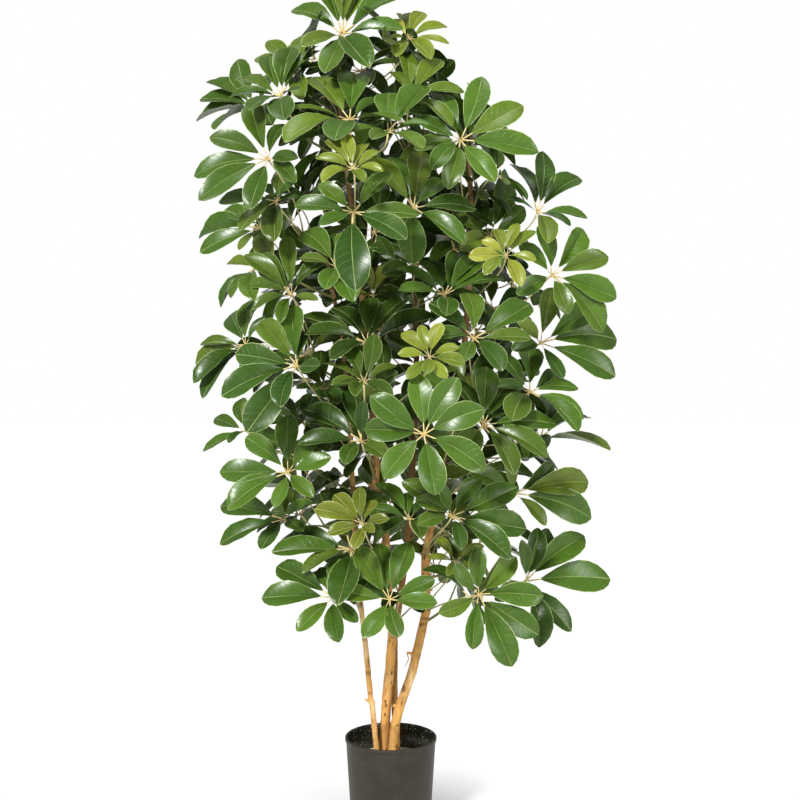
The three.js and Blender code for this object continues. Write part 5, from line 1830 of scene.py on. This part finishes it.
    def build(self) -> Piece:
        """Models the whole leaflet: its blade and then its stalk.

        Returns:
            The leaflet, with the attribute edge, which is 1 along the blade's outline.
        """
        blade = self.build_blade()
        for face in blade.data.polygons:
            face.use_smooth = True
        stalk = self.build_stalk()
        blade_points = len(blade.data.vertices)
        leaflet = joined([blade, stalk], "leaflet_pattern")
        leaflet["blade_points"] = blade_points
        edge = leaflet.data.attributes.new("edge", "FLOAT", "POINT")
        for vertex in leaflet.data.vertices[:blade_points]:
            edge.data[vertex.index].value = float(self.is_edge(vertex.co))
        return leaflet


def as_stalk(mesh: bpy.types.Mesh) -> None:
    """Gives a part of the pattern a leaf's material slots, and the stalk's one to its faces."""
    for _ in Skin:
        mesh.materials.append(None)
    for face in mesh.polygons:
        face.material_index = int(Skin.STALK)


def rod_pattern(name: str, sides: int, rings: int) -> Piece:
    """Models a closed rod, 1 high and with the radius 1, for copies that follow a curve."""
    rod = grow(name, [Ring(Vector((0, 0, index / rings)), 1.0) for index in range(rings + 1)], sides, 80.0)
    finish_pattern(rod)
    return rod


def hub_pattern() -> Piece:
    """Models the small swollen knot at the middle of a head."""
    deselect_all()
    bpy.ops.mesh.primitive_uv_sphere_add(segments=8, ring_count=5, radius=1.0)
    hub = bpy.context.object
    with Shaping(hub) as shaping:
        shaping.pick(lambda place: place.z > 0.5)
        shaping.resize((1.15, 1.15, 0.55), (0.0, 0.0, 0.5))
    bpy.ops.object.shade_smooth()
    hub.name = "hub_pattern"
    finish_pattern(hub)
    return hub


def finish_pattern(pattern: Piece) -> None:
    """Gives a rod or knot the layers that the leaflets have, with the stalk's material."""
    drop_maps(pattern.data)
    pattern.data.uv_layers.new(name="leaf")
    pattern.data.attributes.new("edge", "FLOAT", "POINT")
    as_stalk(pattern.data)


class Greens(NamedTuple):
    """The colours of a spray: of its blades from dark to light, and of its stalks from the leaflet down."""

    dark: Colour
    light: Colour
    yellow: Colour
    straw: Colour
    hub: Colour
    stalk: Colour


GREENS = {
    Age.OLD: Greens(
        (0.028, 0.070, 0.008), (0.078, 0.158, 0.014), (0.165, 0.215, 0.022), (0.88, 0.74, 0.36),
        (0.56, 0.40, 0.14), (0.23, 0.22, 0.06)),
    Age.YOUNG: Greens(
        (0.105, 0.165, 0.012), (0.225, 0.275, 0.024), (0.42, 0.38, 0.05), (0.80, 0.70, 0.34),
        (0.50, 0.38, 0.14), (0.26, 0.30, 0.06)),
}
LOOKS = {
    ("spray_upper_2", 0): Look(fresh=0.7, width=0.9),
    ("spray_upper_left_2", 0): Look(fresh=0.6),
    ("spray_middle_5", 1): Look(fresh=0.2, tone=0.8, width=0.85),
    ("spray_left_5", 0): Look(fresh=0.2, width=0.78),
    ("spray_left_1", 0): Look(tone=0.82, width=0.94),
    ("spray_upper_left_1", 0): Look(tone=0.85),
    ("spray_upper_left_1", 1): Look(tone=0.8),
    ("spray_middle_3", 0): Look(width=1.1),
    ("spray_middle_6", 0): Look(tone=0.55, width=0.95),
    ("spray_left_7", 0): Look(tone=0.6),
    ("spray_right_4", 0): Look(tone=0.8),
    ("young_leaf_6", 0): Look(tone=0.6),
    ("young_leaf_7", 0): Look(tone=0.64),
}
# Painted shade: the heads deep in the crown get a darker tone that stands for the shade that falls there.
DEEP_CROWN_PAINTED_SHADE = Look(tone=0.62)


@dataclass(frozen=True)
class LeafForm:
    """How leaflets stray from their pattern and their green, and how big the knot at their hub is.

    A pair gives a middle and how far a leaflet strays from it. Belly, how much wider the tip's half of a
    blade is, and lightness, where it lies between dark and light, have its whole head's share in between.
    """

    fold: Pair
    width: Pair
    knot: float
    belly: Triple = (0.14, 0.20, 0.14)
    twist: float = 9.0
    twist_from: float = 0.15
    ruffle: Pair = (0.006, 0.006)
    ruffle_width: float = 0.2
    waves: float = 19.0
    phase: float = 6.0
    halves_apart: float = 3.0
    sideways: float = 0.05
    turn: Pair = (0.30, 0.92)
    steps: int = 33
    lean_from: float = 0.45
    lightness: Triple = (0.25, 0.50, 0.35)
    yellowing: float = 0.6
    ripe_until: float = 0.09
    knot_drop: float = 0.001


FORMS = {
    Age.OLD: LeafForm(fold=(1.15, 0.7), width=(0.89, 0.07), knot=0.0027),
    Age.YOUNG: LeafForm(fold=(1.3, 0.5), width=(0.86, 0.07), knot=0.0023),
}


def blend(first: Sequence[float], second: Sequence[float], share: float | np.ndarray) -> np.ndarray:
    """Goes from the first colour or direction towards the second by a share."""
    return np.array(first) * (1 - share) + np.array(second) * share


class Foliage:
    """Builds the sprays: each leaflet, stalk and twig is a bent copy of its pattern."""

    rod_side: Triple = (0.31, 0.92, 0.23)
    rod_sides: int = 6
    rod_rings: int = 9

    def __init__(self) -> None:
        """Models the patterns and makes the leaf finishes."""
        self.rule, self.stalk_rule, self.twig_rule = LeafletRule(), StalkRule(), TwigRule()
        self.patterns = {
            "leaflet": LeafletPattern().build(),
            "rod": rod_pattern("rod_pattern", self.rod_sides, self.rod_rings),
            "hub": hub_pattern(),
        }
        self.points = {name: self.points_of(pattern) for name, pattern in self.patterns.items()}
        self.skins = {
            age: [LeafFinish(Skin.UPPER, age).material(), LeafFinish(Skin.UNDER, age).material(),
                  StalkFinish(age).material()]
            for age in Age
        }

    @staticmethod
    def points_of(pattern: Piece) -> np.ndarray:
        """The places of a pattern's points, a row for each."""
        points = np.empty(len(pattern.data.vertices) * 3)
        pattern.data.vertices.foreach_get("co", points)
        return points.reshape(-1, 3)

    def copy(self, pattern: str, points: np.ndarray, tints: np.ndarray, age: Age) -> Piece:
        """Copies a pattern with its own mesh.

        Args:
            pattern: The pattern's name.
            points: The new places of its points.
            tints: A colour for each point.
            age: Whose materials it gets.

        Returns:
            The copy.
        """
        mesh = self.patterns[pattern].data.copy()
        mesh.vertices.foreach_set("co", np.ascontiguousarray(points, dtype=np.float32).ravel())
        tint = mesh.attributes.new("tint", "FLOAT_COLOR", "POINT")
        colours = np.ones((len(points), 4), dtype=np.float32)
        colours[:, :3] = tints
        tint.data.foreach_set("color", colours.ravel())
        for place, material in enumerate(self.skins[age]):
            mesh.materials[place] = material
        copied = bpy.data.objects.new(pattern, mesh)
        bpy.context.collection.objects.link(copied)
        return copied

    def grow_leaflet(self, leaflet: Leaflet, age: Age) -> Piece:
        """Bends a copy of the pattern into a leaflet.

        Args:
            leaflet: The leaflet.
            age: The spray's age.

        Returns:
            The leaflet's piece.
        """
        form = FORMS[age]
        local = self.points["leaflet"]
        y, across = local[:, 1], local[:, :1]
        centre, flat, normal = self.rib(leaflet, y, form)
        fold = leaflet.stray(form.fold, Chance.FOLD)
        width = leaflet.head.look.width * leaflet.stray(form.width, Chance.WIDTH)
        belly = form.belly[0] + form.belly[1] * (2 * noise(leaflet.head.seed, Chance.HEAD_BELLY) - 1)
        belly += form.belly[2] * leaflet.draw(Chance.BELLY)
        twist = math.radians(form.twist * leaflet.draw(Chance.TWIST))
        angle = (twist * smooth(y, form.twist_from, 1.0))[:, None]
        flat, normal = (
            flat * np.cos(angle) + normal * np.sin(angle), normal * np.cos(angle) - flat * np.sin(angle))
        shift = form.sideways * leaflet.draw(Chance.SIDEWAYS) * np.sin(math.pi * np.clip(y, 0, 1))[:, None]
        blade = np.clip((y - LeafletPattern.base) / (1 - LeafletPattern.base), 0, 1)
        side = across * width * (1 + belly * (blade - 0.5))[:, None]
        waves = y * form.waves + form.phase * leaflet.draw(Chance.PHASE)
        waves = np.sin(waves + form.halves_apart * np.sign(across).ravel())[:, None]
        ruffle = leaflet.stray(form.ruffle, Chance.WAVE) * (np.abs(across) / form.ruffle_width) ** 2 * waves
        lift = local[:, 2:] * fold + ruffle
        points = np.array(leaflet.head.hub) + leaflet.reach * (centre - flat * (side - shift) + normal * lift)
        points = self.held_inside(points, y, form.lean_from)
        return self.copy("leaflet", points, self.leaflet_tints(leaflet, age), age)

    @staticmethod
    def rib(leaflet: Leaflet, y: np.ndarray, form: LeafForm) -> tuple[np.ndarray, np.ndarray, np.ndarray]:
        """Follows a leaflet's bent rib.

        Args:
            leaflet: The leaflet.
            y: How far along it each of its points lies, from 0 to 1.
            form: The form of its kind.

        Returns:
            For each point: its place on the rib of a leaflet that is 1 long, the direction across the blade
            there, and the direction out of its upper side.
        """
        steps = np.linspace(0.0, 1.0, form.steps)
        along, across = (np.array([way[:] for way in ways]) for ways in (leaflet.along, leaflet.across))
        ways = unit_rows(blend(along[0], along[1], smooth(steps, *form.turn)[:, None]))
        moves = (ways[1:] + ways[:-1]) / 2 * (steps[1] - steps[0])
        middle = np.vstack([np.zeros(3), np.cumsum(moves, axis=0)])
        way = unit_rows(np.stack([np.interp(y, steps, ways[:, axis]) for axis in range(3)], axis=1))
        centre = np.stack([np.interp(y, steps, middle[:, axis]) for axis in range(3)], axis=1)
        flat = blend(across[0], across[1], smooth(y, *form.turn)[:, None])
        flat = unit_rows(flat - way * np.sum(flat * way, axis=1, keepdims=True))
        return centre, flat, np.cross(way, flat)

    @staticmethod
    def held_inside(points: np.ndarray, along: np.ndarray, lean_from: float) -> np.ndarray:
        """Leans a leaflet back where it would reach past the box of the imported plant.

        Args:
            points: The leaflet's points.
            along: How far along the leaflet each of them lies, from 0 to 1.
            lean_from: How far along it has leant back fully.

        Returns:
            The points, moved inside the box.
        """
        low, high = (np.array(corner) for corner in CAD_BOX)
        past = np.minimum(points - low, 0).min(axis=0) + np.maximum(points - high, 0).max(axis=0)
        return points - past * smooth(along, 0.0, lean_from)[:, None]

    def leaflet_tints(self, leaflet: Leaflet, age: Age) -> np.ndarray:
        """Colours a leaflet: its blade by chance between the spray's greens, and its stalk straw.

        Args:
            leaflet: The leaflet.
            age: How old its spray is.

        Returns:
            A colour for each of its points.
        """
        greens, form, look = GREENS[age], FORMS[age], leaflet.head.look
        y = self.points["leaflet"][:, 1]
        share = form.lightness[0] + form.lightness[1] * noise(leaflet.head.seed, Chance.HEAD_GREEN)
        share += form.lightness[2] * leaflet.draw(Chance.GREEN)
        blade = blend(greens.dark, greens.light, min(1.0, max(0.0, share)))
        blade = blend(blade, greens.yellow, max(0.0, leaflet.draw(Chance.YELLOW)) ** 3 * form.yellowing)
        blade = blend(blade, GREENS[Age.YOUNG].dark, look.fresh) * look.tone
        tints = np.tile(blade, (len(y), 1))
        count = self.patterns["leaflet"]["blade_points"]
        ripe = smooth(y[count:], 0.0, form.ripe_until)[:, None]
        tints[count:] = blend(greens.hub, greens.straw, ripe)
        return tints

    def grow_rod(
        self, path: Callable[[float], Vector], radius: Callable[[np.ndarray], np.ndarray],
        colours: tuple[Colour, Colour], age: Age,
    ) -> Piece:
        """Bends a copy of the rod along a path.

        Args:
            path: Gives the point at a share of the path's way.
            radius: Gives the radius at shares of the way.
            colours: The colours at its start and at its end.
            age: Whose materials it gets.

        Returns:
            The rod's piece.
        """
        local = self.points["rod"]
        levels = np.unique(np.round(local[:, 2], 6))
        line = np.array([path(float(level))[:] for level in levels])
        ways = unit_rows(np.gradient(line, axis=0))
        axis = np.array(self.rod_side)
        sides = []
        for way in ways:
            axis = axis - way * np.dot(axis, way)
            axis /= np.linalg.norm(axis)
            sides.append(axis)
        place = np.searchsorted(levels, np.round(local[:, 2], 6))
        first = np.array(sides)[place]
        second = np.cross(ways[place], first)
        width = radius(local[:, 2])[:, None]
        points = line[place] + width * (first * local[:, :1] + second * local[:, 1:2])
        return self.copy("rod", points, blend(*colours, local[:, 2:]), age)

    def grow_hub(self, head: Head, age: Age) -> Piece:
        """Puts a knot at the middle of a head."""
        axes, form = head.axes(), FORMS[age]
        turn = np.array((axes.left, axes.up, axes.left.cross(axes.up)))
        points = np.array(head.hub - axes.out * form.knot_drop) + self.points["hub"] @ turn * form.knot
        return self.copy("hub", points, np.tile(GREENS[age].hub, (len(points), 1)), age)

    def grow_spray(self, spray: Spray, solid: PackedSolid | None) -> list[Piece]:
        """Grows a spray: its twig, and the stalk, knot and leaflets of each head.

        Args:
            spray: The spray.
            solid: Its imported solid, where it has one.

        Returns:
            Its pieces.
        """
        greens = GREENS[spray.age]
        root = trunk_point(spray.stem, spray.start)
        pieces, foot = [], root
        if len(spray.heads) > 1:
            foot = self.twig_rule.fork_of(root, spray.heads)
            twig = self.twig_rule.find(root, foot, solid)
            pieces.append(self.grow_rod(
                lambda share: twig[0].lerp(twig[1], share).lerp(twig[1].lerp(twig[2], share), share),
                self.twig_rule.width, (greens.stalk, greens.stalk), spray.age))
        for head in spray.heads:
            curve = self.stalk_rule.find(head, foot, solid)
            pieces.append(self.grow_rod(
                lambda share: bezier(curve, share), self.stalk_rule.width, (greens.straw, greens.stalk),
                spray.age))
            pieces.append(self.grow_hub(head, spray.age))
            for index, place in enumerate(self.rule.places(head)):
                leaflet = self.rule.find(head, index, place, solid)
                if leaflet is not None:
                    pieces.append(self.grow_leaflet(leaflet, spray.age))
        return pieces

    def build(self, sprays: Sequence[Spray], inner: Sequence[Spray]) -> None:
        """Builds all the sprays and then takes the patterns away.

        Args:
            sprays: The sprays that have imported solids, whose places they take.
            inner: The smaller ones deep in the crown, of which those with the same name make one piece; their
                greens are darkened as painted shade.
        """
        for place, spray in enumerate([*sprays, *inner]):
            for number, head in enumerate(spray.heads):
                head.seed = place * 4 + number + 1
                # The inner heads get the painted shade of the deep crown.
                head.look = LOOKS.get((spray.name, number), Look() if place < len(sprays) else DEEP_CROWN_PAINTED_SHADE)
        for spray in sprays:
            piece = joined(self.grow_spray(spray, PackedSolid(spray.name)), f"{spray.name}_leaves")
            settle(piece, Slot.YOUNG_LEAF if spray.age is Age.YOUNG else Slot.LEAF, spray.name)
        for name in sorted({spray.name for spray in inner}):
            grown = [piece for spray in inner if spray.name == name for piece in self.grow_spray(spray, None)]
            settle(joined(grown, name), Slot.LEAF)
        for pattern in self.patterns.values():
            bpy.data.objects.remove(pattern)


class Lamp(NamedTuple):
    """A square soft light: its place, its side, its power in watts, and whether it is mirrored in gloss."""

    name: str
    place: Triple
    size: float
    power: float
    gleams: bool = True


@dataclass
class Studio:
    """A pale floor, a pale surrounding, soft lights and the camera at the front."""

    floor_radius: float = 40.0
    floor_level: float = -0.0006
    floor_fade: Pair = (0.06, 0.36)
    floor_colour: Colour = (0.94, 0.94, 0.94)
    black: Colour = (0.0, 0.0, 0.0)
    white: Colour = (1.0, 1.0, 1.0)
    sensor: float = 36.0
    lens: float = 48.1
    sky: float = 1.0
    glow: float = 0.33
    lit_height: float = 0.85
    lamps: tuple[Lamp, ...] = (
        Lamp("key_light", (-2.5, -4.9, 3.8), 1.0, 435.0),
        Lamp("fill_light", (3.6, -3.2, 2.0), 1.6, 95.0),
        Lamp("top_light", (-0.6, -0.9, 6.6), 1.8, 60.0),
        Lamp("back_light", (1.8, 4.6, 2.6), 2.0, 130.0, gleams=False),
    )

    def build(self) -> None:
        """Sets everything up."""
        self.build_floor()
        self.build_sky()
        for lamp in self.lamps:
            self.hang(lamp)
        self.add_camera()

    def build_floor(self) -> None:
        """Lays a plain pale floor, which glows as white as the surrounding further away from the plant."""
        deselect_all()
        bpy.ops.mesh.primitive_circle_add(
            vertices=96, radius=self.floor_radius, fill_type="NGON", location=(0, 0, self.floor_level))
        floor = placed("floor")
        shader = Shader("floor_pale", {"Roughness": 0.85, "Emission Strength": self.sky})
        place = shader.node("ShaderNodeVectorMath", {"operation": "LENGTH"}, {0: shader.place()})
        away = Num(shader, place.outputs["Value"]).band(*self.floor_fade)
        white = shader.mix(away, self.black, self.white)
        shader.tree.links.new(white, shader.surface.inputs["Emission Color"])
        floor.data.materials.append(shader.finish(shader.mix(away, self.floor_colour, self.black)))

    def build_sky(self) -> None:
        """Surrounds everything with even pale light."""
        world = bpy.data.worlds.new("studio")
        bpy.context.scene.world = world
        world.use_nodes = True
        tree = world.node_tree
        background = tree.nodes["Background"]
        background.inputs["Color"].default_value = (*self.white, 1.0)
        strength = tree.nodes.new("ShaderNodeMapRange")
        strength.inputs["To Min"].default_value = self.glow
        strength.inputs["To Max"].default_value = self.sky
        path = tree.nodes.new("ShaderNodeLightPath")
        tree.links.new(path.outputs["Is Camera Ray"], strength.inputs["Value"])
        tree.links.new(strength.outputs["Result"], background.inputs["Strength"])

    def hang(self, lamp: Lamp) -> None:
        """Hangs a lamp, which looks at the middle of the plant.

        Args:
            lamp: The lamp.
        """
        deselect_all()
        way = UP * self.lit_height - Vector(lamp.place)
        turn = way.to_track_quat("-Z", "Y").to_euler()
        bpy.ops.object.light_add(type="AREA", location=lamp.place, rotation=turn)
        light = bpy.context.object
        light.name = lamp.name
        light.data.size = lamp.size
        light.data.energy = lamp.power
        light.visible_camera = False
        light.visible_glossy = lamp.gleams

    def add_camera(self) -> None:
        """Puts the camera where the front view is seen from."""
        deselect_all()
        bpy.ops.object.camera_add(
            location=(EYE.x, -EYE.distance, EYE.z), rotation=(math.radians(90), 0, 0))
        camera = bpy.context.object
        camera.data.sensor_width = self.sensor
        camera.data.lens = self.lens
        bpy.context.scene.camera = camera
        bpy.context.scene.view_settings.view_transform = "Standard"


def main() -> None:
    """Builds the plant in order."""
    logging.basicConfig(level=logging.INFO, format="%(message)s", stream=sys.stdout)
    pot = Pot()
    pot.build()
    PlantingBed(pot).build()
    # Trunk C gets painted shade: its bark is darkened because it stands behind trunks B and D, in their
    # shade.
    for trunk in (Trunk(Stem.A), Trunk(Stem.B), Trunk(Stem.C, shade=0.62), Trunk(Stem.D, dangling=True)):
        trunk.build()
    Foliage().build([*FRONT_SPRAYS, *FarSide().build()], InnerLeaves().build())
    Studio().build()


if __name__ == "__main__":
    main()
